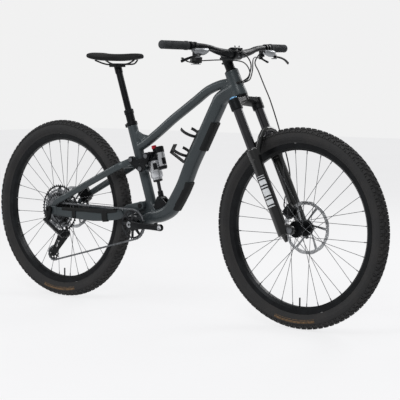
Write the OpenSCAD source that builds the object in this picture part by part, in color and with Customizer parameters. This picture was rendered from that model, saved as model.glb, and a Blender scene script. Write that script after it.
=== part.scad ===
// Full suspension mountain bike. Millimetres, +X forward, +Y to the rider's left, +Z up.
// The origin is on the ground, midway between the two axles.

/* [Wheels] */
// Distance between the two axles
wheelbase = 1210; // [1190:1:1260]
// Outer radius of the tyres
tyre_r = 374; // [366:1:380]
// Width of the tyres
tyre_w = 62; // [54:1:66]
// Wall of the tyres
tyre_wall = 3; // [2:0.5:5]
// Outer width of the rims
rim_w = 35; // [30:1:38]
// Depth of the rims
rim_depth = 26; // [20:1:32]
// Number of spokes in each wheel
spoke_count = 32; // [24:4:36]
// Diameter of a spoke
spoke_d = 2; // [1.8:0.1:2.4]
// Diameter of the front brake rotor
front_rotor_d = 200; // [180:1:203]
// Diameter of the rear brake rotor
rear_rotor_d = 180; // [160:1:200]
// Thickness of the brake rotors
rotor_t = 1.8; // [1.6:0.1:2.2]

/* [Frame] */
// Distance of the bottom bracket behind the middle of the wheelbase
bb_back = 169; // [160:1:178]
// Drop of the bottom bracket below the axles
bb_drop = 34; // [25:1:42]
// Angle of the steering axis to the ground
head_angle = 64.5; // [63:0.1:67]
// Angle of the seat tube to the ground
seat_angle = 71.6; // [70:0.1:73]
// Length of the head tube
head_tube_len = 104; // [90:1:115]
// Width of the down tube
down_tube_w = 57; // [48:1:60]
// Depth of the down tube
down_tube_h = 56; // [48:1:60]
// Width of the top tube
top_tube_w = 38; // [32:1:42]
// Depth of the top tube
top_tube_h = 36; // [30:1:40]
// Outer diameter of the seat tube
seat_tube_d = 41; // [39:1:44]
// Depth of the chainstays
chainstay_h = 44; // [36:1:48]
// Depth of the seatstays
seatstay_h = 28; // [22:1:32]

/* [Suspension] */
// Outer diameter of the fork's stanchions
stanchion_d = 35; // [32:1:38]
// Distance between the stanchions' axes
stanchion_gap = 136; // [132:1:140]
// Outer diameter of the fork's lower legs
leg_d = 46; // [42:1:48]
// Distance of the front axle ahead of the steering axis
fork_rake = 44; // [40:1:51]
// Outer diameter of the shock's can
shock_can_d = 48; // [40:1:52]
// Diameter of the shock's shaft
shock_shaft_d = 14; // [10:1:16]
// Diameter of the linkage's pivot pins
pivot_d = 12; // [10:0.5:14]

/* [Cockpit] */
// Width of the handlebar over the grips
bar_w = 776; // [740:1:800]
// Diameter of the handlebar in the stem
bar_clamp_d = 35; // [31.8:0.1:35]
// Diameter of the handlebar in the grips
bar_d = 22.2; // [22:0.1:22.4]
// Length of the stem
stem_len = 45; // [35:1:60]
// Length of the grips
grip_len = 132; // [120:1:140]
// Outer diameter of the grips
grip_d = 32; // [29:0.5:34]

/* [Drivetrain] */
// Length of the crank arms
crank_len = 165; // [160:1:175]
// Teeth of the chainring
ring_teeth = 30; // [28:1:32]
// Teeth of the sprocket that carries the chain
cog_teeth = 14; // [14:1:16]
// Teeth of the guide pulley
guide_teeth = 12; // [11:1:13]
// Teeth of the tension pulley
tension_teeth = 14; // [12:1:14]
// Radius of the pedal threads
pedal_thread_r = 7.14; // [7:0.01:7.3]

/* [Seat] */
// Length of the saddle
saddle_len = 262; // [245:1:280]
// Width of the saddle
saddle_w = 144; // [130:1:160]
// Outer diameter of the seat post's outer tube
post_outer_d = 34.9; // [31.6:0.1:34.9]
// Diameter of the seat post's sliding tube
post_inner_d = 27; // [25:0.5:28]
// Travel of the seat post
post_travel = 150; // [120:5:150]

/* [Hidden] */
$fn = 48;

// Running clearances and small gaps
run_gap = 0.06;
seat_gap = 0.3;

// Main points, as [x, z] in the plane of symmetry
rear_axle_xz = [-wheelbase / 2, tyre_r];
front_axle_xz = [wheelbase / 2, tyre_r];
bb = [-bb_back, tyre_r - bb_drop];
up_dir = [-cos(head_angle), sin(head_angle)];
fwd_dir = [sin(head_angle), cos(head_angle)];
steer_foot = front_axle_xz - fork_rake * fwd_dir;
seat_dir = [-cos(seat_angle), sin(seat_angle)];
seat_foot = bb + [80, 0];
main_pivot = bb + [24, 75];
stay_pivot = bb + [-21, 258];
rocker_pivot = bb + [29, 224];
shock_top = bb + [59, 276];
shock_foot = bb + [105, 104];

// Heights along the steering axis, measured from the axle's level
crown_t = 532;
race_t = 548;
head_t = 556;
head_top_t = head_t + head_tube_len;
stem_t = head_top_t + 53;
stem_h = 40;
steerer_r = 14.3;
steerer_base_r = 19;
stanchion_n = 12;
seal_t = 333;
shoulder_t = 496;

// Drivetrain
chain_pitch = 12.7;
chain_y = -57;
chain_half_h = 4.2;
plate_in = 1.1;
plate_out = 2.4;
cog_step = 3.45;
tooth_t = 1.4;
cogs = [10, 12, 14, 16, 18, 21, 24, 28, 32, 36, 42, 50];
guide_xz = rear_axle_xz + [37, -108];
tension_xz = rear_axle_xz + [-7, -188];
knuckle_xz = rear_axle_xz + [79, -97];
mech_b = [rear_axle_xz[0] - 10, -94, rear_axle_xz[1] - 42];
mech_p = [knuckle_xz[0], -94, knuckle_xz[1]];
mech_axis = [0.372, 0.707, 0.602];

// Hubs and dropouts
rear_half = 74;
front_half = 55;
axle_rear_r = 6;
axle_front_r = 7.5;
rear_rotor_y = 58;
front_rotor_y = 40;
bead_r = tyre_r - tyre_w + 4;
hub_hole_r = 28;

// Colours
paint = [0.25, 0.28, 0.28];
black = [0.08, 0.08, 0.09];
steel = [0.62, 0.63, 0.65];
rubber = [0.12, 0.12, 0.12];

// ---- helpers -------------------------------------------------------------------------------
function unit(v) = v / norm(v);
function mix(a, b, t) = a + (b - a) * t;
function lift(p, y = 0) = [p[0], y, p[1]];
function steer_point(n, y, t) = lift(steer_foot + t * up_dir + n * fwd_dir, y);
function seat_point(s) = lift(seat_foot + s * seat_dir);
function pitch_r(teeth) = chain_pitch / 2 / sin(180 / teeth);
// A point a fraction f along the line from a to b, moved sideways by off
function bowed(a, b, f, off) = mix(a, b, f) + off * [(b - a)[1], -(b - a)[0]] / norm(b - a);
// A smooth curve through rows of numbers, with k steps to each gap
function spline(a, b, c, d, t) = 0.5 * (2 * b + (c - a) * t + (2 * a - 5 * b + 4 * c - d) * t * t
    + (3 * b - a - 3 * c + d) * t * t * t);
function smooth(p, k) = let (last = len(p) - 1) [
    for (i = [0:last - 1], j = [0:k - 1])
        spline(p[max(i - 1, 0)], p[i], p[i + 1], p[min(i + 2, last)], j / k),
    p[last]];
function rounded(v, e) = sign(v) * pow(abs(v), e);

// A solid swept along rows of [x, y, z, width, depth]; its width lies nearest to side
module sweep(rows, sides = 16, side = [0, 1, 0], square = 1) {
    n = len(rows);
    at = [for (r = rows) [r[0], r[1], r[2]]];
    ring_points = [for (i = [0:n - 1])
        let (t = unit(at[min(i + 1, n - 1)] - at[max(i - 1, 0)]),
             w = unit(side - (side * t) * t),
             h = cross(t, w))
        for (k = [0:sides - 1])
            let (a = 360 * (k + 0.5) / sides)
            at[i] + w * rows[i][3] / 2 * rounded(cos(a), square)
                + h * rows[i][4] / 2 * rounded(sin(a), square)];
    skin = [for (i = [0:n - 2], k = [0:sides - 1])
        let (a = i * sides + k, b = i * sides + (k + 1) % sides)
        for (f = [[a, a + sides, b], [b, a + sides, b + sides]]) f];
    caps = [[for (k = [0:sides - 1]) k], [for (k = [sides - 1:-1:0]) (n - 1) * sides + k]];
    polyhedron(ring_points, concat(skin, caps));
}

// A round hose through hand-chosen points
module hose(points, d, k = 3) {
    sweep([for (p = smooth(points, k)) [p[0], p[1], p[2], d, d]], sides = 8, side = [0.3, 0.2, 1]);
}

// Places its children with their Z axis along the line from p to q
module along(p, q) {
    d = q - p;
    translate(p) rotate([0, acos(d[2] / norm(d)), atan2(d[1], d[0])]) children();
}

// Turns Z to +Y
module sideways() { rotate([-90, 0, 0]) children(); }

// Puts its children at [x, z] on the left side, with their Z axis along +Y
module at(p, y = 0) { translate(lift(p, y)) sideways() children(); }

// Puts its children in the steering frame: Z up the steering axis, X forward
module steer() { translate(lift(steer_foot)) rotate([0, head_angle - 90, 0]) children(); }

// Puts its children on the seat tube's axis
module seat() { translate(lift(seat_foot)) rotate([0, seat_angle - 90, 0]) children(); }

// A round bar from y0 to y1 at [x, z]
module cross_bar(p, y0, y1, r) { at(p, y0) cylinder(h = y1 - y0, r = r); }

// A flat plate with the outline of its 2-D children in [x, z], from y0 to y1
module plate(y0, y1) { translate([0, y1, 0]) rotate([90, 0, 0]) linear_extrude(y1 - y0) children(); }

// Both sides of a mirrored pair
module pair() {
    children();
    mirror([0, 1, 0]) children();
}

// ---- frame ---------------------------------------------------------------------------------
head_r = 27;

module head_tube_body(grow = 0) {
    steer() translate([0, 0, head_t]) rotate_extrude()
        polygon([[0, 0], [head_r + 2 + grow, 0], [head_r + 2 + grow, 16], [head_r + grow, 44],
            [head_r + grow, head_tube_len], [0, head_tube_len]]);
}

module head_tube() {
    color(paint) difference() {
        head_tube_body();
        steer() translate([0, 0, head_t - 1]) cylinder(h = head_tube_len + 2, r = steerer_base_r + 3);
    }
}

module headset_cups() {
    bore = steerer_base_r + 3 - 0.02;
    steer() {
        // Upper cup and cover
        translate([0, 0, head_top_t]) difference() {
            union() {
                cylinder(h = 8, r1 = head_r, r2 = 19);
                translate([0, 0, -14]) cylinder(h = 14, r = bore);
            }
            translate([0, 0, -15]) cylinder(h = 24, r = steerer_r + run_gap);
        }
        // Lower cup
        translate([0, 0, race_t + 1]) difference() {
            union() {
                cylinder(h = head_t - race_t - 1, r = head_r + 1);
                cylinder(h = 22, r = bore);
            }
            translate([0, 0, -1]) cylinder(h = 24, r = steerer_base_r + run_gap);
        }
    }
}

top_tube_bow = [[0, 0], [0.085, 26], [0.22, 39], [0.35, 33], [0.47, 27], [0.61, 20], [0.75, 9],
    [0.9, 0], [1, 0]];
down_tube_bow = [[0, 0], [0.105, 30], [0.16, 26], [0.27, 10], [0.39, -8], [0.523, -27],
    [0.649, -52], [0.758, -64], [0.822, -67], [0.893, -46], [0.9415, -17], [1, 0]];
top_tube_end = seat_foot + 319 * seat_dir;
head_mid = steer_foot + (head_t + 0.5 * head_tube_len) * up_dir;
head_low = steer_foot + (head_t + 0.32 * head_tube_len) * up_dir;

module top_tube_body(grow = 0) {
    ends = len(top_tube_bow) - 1;
    sweep(smooth([for (i = [0:ends])
        let (b = top_tube_bow[i], p = bowed(head_mid, top_tube_end, b[0], b[1]))
        [p[0], 0, p[1], top_tube_w + grow, top_tube_h + grow + (i < 2 ? 12 : 0)]], 2),
        sides = 20, square = 0.7);
}

module top_tube() {
    color(paint) difference() {
        top_tube_body();
        head_tube_body();
        seat_tube_body();
    }
}

module down_tube_body(grow = 0) {
    sweep(smooth([for (i = [0:len(down_tube_bow) - 1])
        let (b = down_tube_bow[i], p = bowed(head_low, bb + [19, 12], b[0], b[1]))
        [p[0], 0, p[1], down_tube_w + grow - (i < 2 ? 6 : 0), down_tube_h + grow]], 2),
        sides = 20, square = 0.7);
}

module down_tube() {
    color(paint) difference() {
        down_tube_body();
        head_tube_body();
        seat_tube_body();
        bb_forging_body();
        top_tube_body();
    }
}

seat_tube_low = 112;
seat_tube_top = 414;

module seat_tube_body() {
    seat() translate([0, 0, seat_tube_low]) cylinder(h = seat_tube_top - seat_tube_low, r = seat_tube_d / 2);
    cross_bar(rocker_pivot, -24, 24, pivot_d / 2 + 8);
    // Gusset behind the top tube
    sweep([[top_tube_end[0] - 12, 0, top_tube_end[1] + 62, 18, 26],
        [top_tube_end[0] + 22, 0, top_tube_end[1] + 42, 22, 34],
        [top_tube_end[0] + 64, 0, top_tube_end[1] + 42, 22, 20]], sides = 12, square = 0.8);
}

module seat_tube() {
    color(paint) difference() {
        seat_tube_body();
        seat() translate([0, 0, seat_tube_low + 6]) cylinder(h = seat_tube_top, r = post_outer_d / 2 + run_gap);
        bb_forging_body();
        for (s = [-1, 1])
            cross_bar(rocker_pivot, min(s * 12, s * 30), max(s * 12, s * 30), pivot_d / 2 + run_gap);
    }
}

module seat_clamp() {
    color(black) seat() translate([0, 0, seat_tube_top + seat_gap]) difference() {
        union() {
            cylinder(h = 14, r = seat_tube_d / 2 + 2);
            translate([-seat_tube_d / 2 - 10, -8, 0]) cube([12, 16, 14]);
        }
        translate([0, 0, -1]) cylinder(h = 16, r = post_outer_d / 2 + run_gap);
        translate([-seat_tube_d / 2 - 12, -1, -1]) cube([14, 2, 16]);
    }
}

bb_shell_r = 25;
bb_half = 36.5;
bb_bore_r = 21;

module bb_forging_body() {
    cross_bar(bb, -bb_half, bb_half, bb_shell_r);
    cross_bar(main_pivot, -20, 20, pivot_d / 2 + 11);
    plate(-20, 20) polygon([bb + [-22, 10], bb + [8, 88], bb + [28, 92], bb + [44, 100],
        bb + [70, 84], bb + [88, 58], bb + [60, 16], bb + [20, -14]]);
}

module bottom_bracket_shell() {
    color(paint) difference() {
        bb_forging_body();
        cross_bar(bb, -bb_half - 1, bb_half + 1, bb_bore_r);
        cross_bar(main_pivot, -30, 30, pivot_d / 2 + run_gap);
    }
}

spindle_r = 14.5;

module bottom_bracket_cups() {
    pair() difference() {
        union() {
            cross_bar(bb, bb_half, bb_half + 8, 23);
            cross_bar(bb, bb_half - 12, bb_half, bb_bore_r - 0.02);
        }
        cross_bar(bb, 0, bb_half + 20, spindle_r + run_gap);
    }
}

module bearing_cups() {
    color(black) {
        headset_cups();
        bottom_bracket_cups();
    }
}

module shock_mount() {
    color(black) difference() {
        union() {
            pair() plate(12.5, 18) polygon([shock_foot + [-12, 8], shock_foot + [-4, 13],
                shock_foot + [8, 11], shock_foot + [40, -18], shock_foot + [10, -56],
                shock_foot + [-30, -40]]);
            cross_bar(shock_foot, -20, 20, pivot_d / 2);
        }
        down_tube_body();
        bb_forging_body();
        seat_tube_body();
    }
}

// Guards under the down tube, as shells of a slightly larger tube
module guard(f0, f1) {
    rows = [for (f = [f0:(f1 - f0) / 3:f1 + 0.001])
        let (off = lookup(f, down_tube_bow), p = bowed(head_low, bb + [19, 12], f, off - 7))
        [p[0], 0, p[1], down_tube_w - 4, down_tube_h + 2]];
    difference() {
        sweep(rows, sides = 20, square = 0.7);
        down_tube_body();
    }
}

module down_tube_guards() {
    color(black) {
        guard(0.24, 0.41);
        guard(0.61, 0.79);
    }
}

bottle_r = 37;
cage_base = bowed(head_low, bb + [19, 12], 0.45, -16 + down_tube_h / 2 + 1);
cage_dir = unit(bowed(head_low, bb + [19, 12], 0.39, -8) - bowed(head_low, bb + [19, 12], 0.523, -27));

module cage_frame() {
    translate(lift(cage_base)) rotate([0, atan2(cage_dir[0], cage_dir[1]), 0]) children();
}

// A strap that runs most of the way round the bottle
module cage_strap(z, h, open) {
    translate([-bottle_r - 6, 0, z]) rotate([0, 0, open / 2]) rotate_extrude(angle = 360 - open)
        translate([bottle_r + 0.5, 0]) square([3, h]);
}

module bottle_cage() {
    color(black) difference() {
        cage_frame() {
            translate([-6, -11, -72]) cube([7, 22, 150]);
            rotate([0, 0, 180]) translate([2 * bottle_r + 12, 0, 0]) {
                cage_strap(42, 12, 110);
                cage_strap(-46, 12, 110);
            }
            translate([-2 * bottle_r - 8, -11, -74]) cube([2 * bottle_r + 4, 22, 4]);
            translate([-2 * bottle_r - 10, -11, -74]) cube([3.5, 22, 40]);
        }
        down_tube_body();
    }
}

// ---- steering ------------------------------------------------------------------------------
module fork_crown() {
    color(black) steer() difference() {
        union() {
            translate([0, 0, crown_t]) cylinder(h = race_t - crown_t, r = 28);
            translate([0, 0, race_t]) cylinder(h = 24, r = steerer_base_r);
            translate([0, 0, race_t]) cylinder(h = stem_t + stem_h / 2 - race_t - 2, r = steerer_r);
            pair() hull() {
                translate([0, 0, crown_t + 1]) cylinder(h = 13, r = 26, $fn = 32);
                translate([stanchion_n, stanchion_gap / 2, crown_t - 17])
                    cylinder(h = 22, r = 21, $fn = 32);
            }
            pair() translate([stanchion_n, stanchion_gap / 2, shoulder_t])
                cylinder(h = crown_t + 7 - shoulder_t, r = stanchion_d / 2 + 5);
        }
        pair() translate([stanchion_n, stanchion_gap / 2, 480])
            cylinder(h = crown_t + 4 - 480, r = stanchion_d / 2 + 0.02);
        // Flat seat for the dial
        translate([stanchion_n, -stanchion_gap / 2, dial_t - seat_gap]) cylinder(h = 20, r = dial_r + 0.5);
    }
}

module stanchions() {
    color([0.16, 0.15, 0.14]) steer() pair()
        translate([stanchion_n, stanchion_gap / 2, 156]) difference() {
            cylinder(h = crown_t + 4 - 156, r = stanchion_d / 2);
            translate([0, 0, -1]) cylinder(h = 360, r = stanchion_d / 2 - 3);
        }
}

dial_t = crown_t + 7 + seat_gap;
dial_r = 14;

module damper_dial() {
    color([0.4, 0.6, 0.75]) steer() translate([stanchion_n, -stanchion_gap / 2, dial_t]) {
        cylinder(h = 5, r = dial_r);
        translate([0, 0, 5]) cylinder(h = 4, r = 8);
    }
}

module headset_spacers() {
    color(black) steer() {
        translate([0, 0, head_top_t + 8 + seat_gap]) difference() {
            cylinder(h = stem_t - stem_h / 2 - head_top_t - 8 - 2 * seat_gap, r = 18);
            translate([0, 0, -1]) cylinder(h = 30, r = steerer_r + 0.02);
        }
        translate([0, 0, stem_t + stem_h / 2 + seat_gap]) cylinder(h = 4, r1 = 18, r2 = 15);
    }
}

bar_tilt = 20;
stem_face = 2;

module stem() {
    color(black) steer() difference() {
        union() {
            translate([0, 0, stem_t - stem_h / 2]) cylinder(h = stem_h, r = 19);
            translate([0, -19, stem_t - 16]) cube([stem_len - bar_clamp_d / 2 - 2, 38, 34]);
            translate([stem_len, -24, stem_t]) sideways() cylinder(h = 48, r = bar_clamp_d / 2 + 6);
        }
        translate([0, 0, stem_t - stem_h]) cylinder(h = 2 * stem_h, r = steerer_r + 0.02);
        translate([stem_len, -30, stem_t]) sideways() cylinder(h = 60, r = bar_clamp_d / 2 + 0.02);
        translate([stem_len + stem_face, -30, stem_t - 40]) cube([60, 60, 80]);
        translate([-40, -1, stem_t - stem_h]) cube([28, 2, 2 * stem_h]);
    }
    // Pinch bolts at the back
    color(steel) steer() for (z = [-11, 11])
        translate([-20, -11, stem_t + z]) sideways() cylinder(h = 22, r = 3.5);
}

module stem_faceplate() {
    color(black) steer() difference() {
        translate([stem_len, -24, stem_t]) sideways() cylinder(h = 48, r = bar_clamp_d / 2 + 6);
        translate([stem_len, -30, stem_t]) sideways() cylinder(h = 60, r = bar_clamp_d / 2 + 0.02);
        translate([stem_len + stem_face + 1 - 60, -30, stem_t - 40]) cube([60, 60, 80]);
        translate([stem_len, -8, stem_t - 12]) cube([40, 16, 24]);
    }
    // Bolts through the plate
    color(steel) steer() for (y = [-17, 17], z = [-9, 9])
        translate([stem_len + stem_face + 1, y, stem_t + z]) rotate([0, 90, 0]) cylinder(h = 24, r = 3.5);
}

bar_c = steer_point(stem_len, 0, stem_t);
bar_knee = bar_c + [-20, 215, 25];
bar_end = bar_c + [-43, bar_w / 2, 27];
bar_out = unit(bar_end - bar_knee);
// A point on the left end of the handlebar, a distance in from its tip
function bar_point(inward) = bar_end - inward * bar_out;

module handlebar() {
    half = [[0, 40, 0, 33], [-2, 58, 1, 31], [-7, 105, 9, 26], [-12, 150, 20, bar_d],
        [-20, 215, 25, bar_d - 0.8]];
    rows = [for (h = half) concat(bar_c + [h[0], h[1], h[2]], [h[3], h[3]])];
    color(black) {
        translate(bar_c - [0, 40, 0]) sideways() cylinder(h = 80, r = bar_clamp_d / 2);
        pair() {
            sweep(smooth(rows, 3), sides = 24, side = [1, 0, 0]);
            along(bar_knee - 4 * bar_out, bar_end) cylinder(h = norm(bar_end - bar_knee) + 3, r = bar_d / 2);
        }
    }
}

module grips() {
    color(black) pair() along(bar_point(grip_len), bar_end) difference() {
        union() {
            cylinder(h = grip_len, r = grip_d / 2 - 1);
            cylinder(h = 12, r = grip_d / 2 + 1);
            translate([0, 0, grip_len - 6]) cylinder(h = 8, r = grip_d / 2);
        }
        translate([0, 0, -1]) cylinder(h = grip_len + 0.5, r = bar_d / 2 + 0.02);
    }
}

// A ring round the bar, a distance in from its tip
module bar_ring(inward, wide, wall) {
    along(bar_point(inward), bar_end) difference() {
        cylinder(h = wide, r = bar_d / 2 + wall);
        translate([0, 0, -1]) cylinder(h = wide + 2, r = bar_d / 2 + 0.02);
    }
}

brake_at = bar_point(grip_len + 16);
brake_end = brake_at + [30, -62, -16];
brake_exit = unit([-4, -28, 5]);
lever_pivot = brake_at + [38, -2, -34];

module brake_body_left() {
    bar_ring(grip_len + 22, 12, 4.5);
    difference() {
        union() {
            sweep(smooth([concat(brake_at + [22, 2, -18], [20, 22]), concat(brake_at + [32, -12, -22], [26, 26]),
                concat(brake_at + [34, -34, -21], [26, 24]), concat(brake_at + [30, -62, -16], [16, 16])], 3),
                sides = 14, side = [0, 0, 1], square = 0.8);
            translate(brake_at + [8, -7, -22]) cube([22, 12, 12]);
            translate(lever_pivot + [0, 0, -9]) cylinder(h = 4, r = 8);
            translate(lever_pivot + [-12, -8, -9]) cube([10, 16, 4]);
        }
        along(bar_point(grip_len + 40), bar_end) cylinder(h = 60, r = bar_d / 2 + 0.02);
        translate(lever_pivot + [-9.5, -13, -4.7]) cube([30, 36, 9.4]);
    }
    translate(lever_pivot + [0, 0, -9]) cylinder(h = 18, r = 2.5);
    translate(lever_pivot + [-9, -6, 4.9]) cube([14, 12, 4]);
}

module brake_bodies() { color([0.55, 0.56, 0.57]) pair() brake_body_left(); }

module brake_lever() {
    color(black) difference() {
        union() {
            translate(lever_pivot - [0, 0, 4]) cylinder(h = 8, r = 7);
            sweep(smooth([concat(lever_pivot, [8, 9]), concat(lever_pivot + [9, 22, -3], [8, 9]),
                concat(lever_pivot + [6, 56, -10], [9, 8]), concat(lever_pivot + [-4, 96, -24], [12, 8])], 3),
                sides = 12, side = [0, 0, 1]);
        }
        translate(lever_pivot - [0, 0, 10]) cylinder(h = 20, r = 2.5 + run_gap);
        // Flat faces that run between the bracket's cheeks
        translate(lever_pivot + [-20, -20, 4.4]) cube([40, 36, 10]);
        translate(lever_pivot + [-20, -20, -14.4]) cube([40, 36, 10]);
    }
}

module brake_lever_left() { brake_lever(); }
module brake_lever_right() { mirror([0, 1, 0]) brake_lever(); }

pod_bar = bar_point(grip_len + 38);
pod_c = [pod_bar[0] + 4, -pod_bar[1] + 2, pod_bar[2] - 60];
pod_tilt = 10;
pod_r = 22;

// A point in the plane through the pod's axis, y along its face and z up its axis
function pod_point(y, z) = pod_c + [0, y * cos(pod_tilt) + z * sin(pod_tilt),
    z * cos(pod_tilt) - y * sin(pod_tilt)];
module pod_frame() { translate(pod_c) rotate([-pod_tilt, 0, 0]) children(); }

module shifter_pod() {
    color(black) {
        mirror([0, 1, 0]) bar_ring(grip_len + 42, 9, 4);
        difference() {
            union() {
                pod_frame() cylinder(h = 20, r = pod_r);
                translate(pod_c + [-10, -9, 12]) cube([12, 12, 46]);
            }
            mirror([0, 1, 0]) along(bar_point(grip_len + 60), bar_end) cylinder(h = 80, r = bar_d / 2 + 3.9);
        }
        pod_frame() translate([0, 0, -8]) cylinder(h = 9, r = 3);
    }
}

module shift_paddle() {
    color(black) pod_frame() difference() {
        union() {
            translate([0, 0, -4.8]) cylinder(h = 4.4, r = 13);
            sweep(smooth([[-4, -6, -2.8, 4, 12], [-14, -30, -2.8, 4, 12], [-22, -56, 6, 5, 16]], 3),
                sides = 12, side = [0, 0, 1], square = 0.8);
        }
        translate([0, 0, -10]) cylinder(h = 12, r = 3 + run_gap);
        translate([0, 0, -0.4]) cylinder(h = 40, r = pod_r + 1);
    }
}

remote_at = bar_point(grip_len + 38);
remote_pivot = remote_at + [-8, -14, -40];

module dropper_remote() {
    color(black) {
        bar_ring(grip_len + 42, 9, 4);
        difference() {
            union() {
                translate(remote_at + [-14, -20, -34]) cube([12, 22, 26]);
                translate(remote_pivot + [0, 0, 4.4]) cylinder(h = 8, r = 9);
            }
            along(bar_point(grip_len + 60), bar_end) cylinder(h = 80, r = bar_d / 2 + 3.9);
        }
        translate(remote_pivot + [0, 0, -4]) cylinder(h = 9, r = 3);
    }
}

module dropper_lever() {
    color(black) difference() {
        union() {
            translate(remote_pivot + [0, 0, -4]) cylinder(h = 8, r = 8);
            sweep(smooth([concat(remote_pivot, [7, 9]), concat(remote_pivot + [6, 13, -7], [7, 10]),
                concat(remote_pivot + [13, 28, -15], [8, 16])], 3), sides = 12, side = [0, 0, 1], square = 0.8);
        }
        translate(remote_pivot - [0, 0, 10]) cylinder(h = 20, r = 3 + run_gap);
        translate(remote_pivot + [-20, -20, 4]) cube([44, 50, 20]);
    }
}

// Hoses. The routes are rows of [forward, left, height] in the steering frame
front_route = [[37, 120, 684], [50, 100, 634], [59, 88, 571], [66, 80, 510], [62, 78, 420],
    [49, 84, 331], [38, 90, 274], [20, 94, 215], [-2, 92, 185], [-20, 76, 150], [-23, 50, 114]];
brake_route = [[60, -110, 712], [82, -50, 706], [90, -6, 686], [84, 16, 650], [64, 6, 612]];
shift_route = [[50, -140, 682], [72, -80, 672], [84, -24, 656], [78, 0, 622], [60, -10, 596]];
drop_route = [[40, 150, 700], [64, 90, 690], [80, 44, 668], [74, 28, 632], [56, 20, 604]];
function routed(rows) = [for (r = rows) steer_point(r[0], r[1], r[2])];
function flip(p) = [p[0], -p[1], p[2]];
// Where a hose meets the head tube: the angle round it, its height and the distance out
function port(a, t, out) = steer_point((head_r + out) * cos(a), (head_r + out) * sin(a), t);
hose_front_end = lift(front_axle_xz, 52) + (front_rotor_d / 2 + 19) * [-0.788, 0, 0.616] - [6, 0, 8];

module control_cables() {
    color(black) {
        hose(concat([brake_end + 0.4 * brake_exit, brake_end + 14 * brake_exit], routed(front_route),
            [hose_front_end]), 5, 3);
        hose(concat([flip(brake_end + 0.4 * brake_exit), flip(brake_end + 14 * brake_exit)],
            routed(brake_route), [port(0, 604, 16), port(0, 604, 0.4)]), 5, 3);
        hose(concat([pod_point(pod_r + 0.4, 10), pod_point(pod_r + 14, 10)], routed(shift_route),
            [port(-36, 602, 16), port(-36, 602, 0.4)]), 4.4, 3);
        hose(concat([remote_at + [-8, -20.4, -22], remote_at + [-8, -34, -22]], routed(drop_route),
            [port(36, 603, 16), port(36, 603, 0.4)]), 4.4, 3);
    }
}

// ---- fork lowers ---------------------------------------------------------------------------
leg_bottom_t = -8;

module fork_lowers() {
    color(black) steer() difference() {
        union() {
            pair() {
                translate([stanchion_n, stanchion_gap / 2, leg_bottom_t]) cylinder(h = seal_t - leg_bottom_t, r = leg_d / 2 - 1);
                translate([stanchion_n, stanchion_gap / 2, seal_t - 40]) cylinder(h = 40, r = leg_d / 2);
                translate([stanchion_n, stanchion_gap / 2, seal_t]) cylinder(h = 5, r = leg_d / 2 - 3);
                // Dropout
                hull() {
                    translate([fork_rake, front_half + seat_gap, 0]) sideways() cylinder(h = 15, r = 17, $fn = 32);
                    translate([stanchion_n + 4, front_half + 3, 22]) sideways() cylinder(h = 16, r = 17, $fn = 32);
                }
                translate([stanchion_n, stanchion_gap / 2, -34]) cylinder(h = 30, r1 = 6, r2 = 12);
                // Web from the leg up to the arch
                sweep([[stanchion_n + 8, stanchion_gap / 2, 292, 20, 20], [36, 64, 328, 20, 22],
                    [56, 52, 366, 20, 20], [64, 34, 386, 18, 18], [67, 12, 392, 16, 17],
                    [67, -1, 392, 16, 17]], sides = 12, side = [1, 0, 0], square = 0.8);
            }
        }
        pair() translate([stanchion_n, stanchion_gap / 2, 0]) cylinder(h = 400, r = stanchion_d / 2 + run_gap);
        translate([fork_rake, -90, 0]) sideways() cylinder(h = 180, r = axle_front_r + 0.02);
        // Seat for the axle's head
        translate([fork_rake, -110, 0]) sideways() cylinder(h = 110 - front_half - 15.4, r = 12.5);
        // Room for the tyre
        translate([fork_rake, -tyre_w / 2 - 4, 0]) sideways() cylinder(h = tyre_w + 8, r = tyre_r + 6, $fn = 96);
    }
}

module front_axle() {
    color(steel) steer() translate([fork_rake, 0, 0]) {
        translate([0, -front_half - 17, 0]) sideways() cylinder(h = 2 * front_half + 34, r = axle_front_r);
        translate([0, -front_half - 20, 0]) sideways() cylinder(h = 4.5, r = 12);
    }
}

// A disc brake caliper over a rotor in the plane y = 0, radial direction up
module caliper(rotor_r) {
    difference() {
        union() {
            translate([-26, -13, rotor_r - 24]) cube([52, 27, 34]);
            translate([-20, -15, rotor_r + 4]) cube([40, 31, 10]);
            translate([0, -17, rotor_r - 9]) sideways() cylinder(h = 35, r = 12);
        }
        translate([-40, -2, rotor_r - 60]) cube([80, 4, 64.5]);
        translate([-16, -10, rotor_r - 30]) cube([32, 20, 8]);
    }
}

module front_caliper() {
    color(black) difference() {
        translate(lift(front_axle_xz, front_rotor_y)) rotate([0, -52, 0]) union() {
            caliper(front_rotor_d / 2);
            translate([-30, 5, front_rotor_d / 2 + 9]) cube([60, 22, 8]);
        }
        steer() translate([stanchion_n, stanchion_gap / 2, -100]) cylinder(h = 500, r = leg_d / 2 - 1 + seat_gap);
    }
}

// ---- wheels --------------------------------------------------------------------------------
section_r = tyre_w / 2;

module tyre() {
    sideways() rotate_extrude($fn = 96) difference() {
        translate([tyre_r - section_r, 0]) circle(r = section_r, $fn = 32);
        translate([tyre_r - section_r, 0]) circle(r = section_r - tyre_wall, $fn = 32);
        translate([0, -section_r - 1]) square([bead_r, 2 * section_r + 2]);
    }
}

module rim() {
    foot = bead_r - rim_depth;
    difference() {
        sideways() rotate_extrude($fn = 96) polygon([[foot, -8], [foot + 9, -rim_w / 2 + 1],
            [bead_r, -rim_w / 2], [bead_r, -rim_w / 2 + 4.5], [bead_r - 12, -rim_w / 2 + 4.5],
            [bead_r - 12, rim_w / 2 - 4.5], [bead_r, rim_w / 2 - 4.5], [bead_r, rim_w / 2],
            [foot + 9, rim_w / 2 - 1], [foot, 8]]);
        translate([0, 0, -foot - 30]) cylinder(h = 40, r = 3.02);
    }
    // Valve
    translate([0, 0, -foot - rim_depth + 3]) cylinder(h = 56, r = 3);
}

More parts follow.
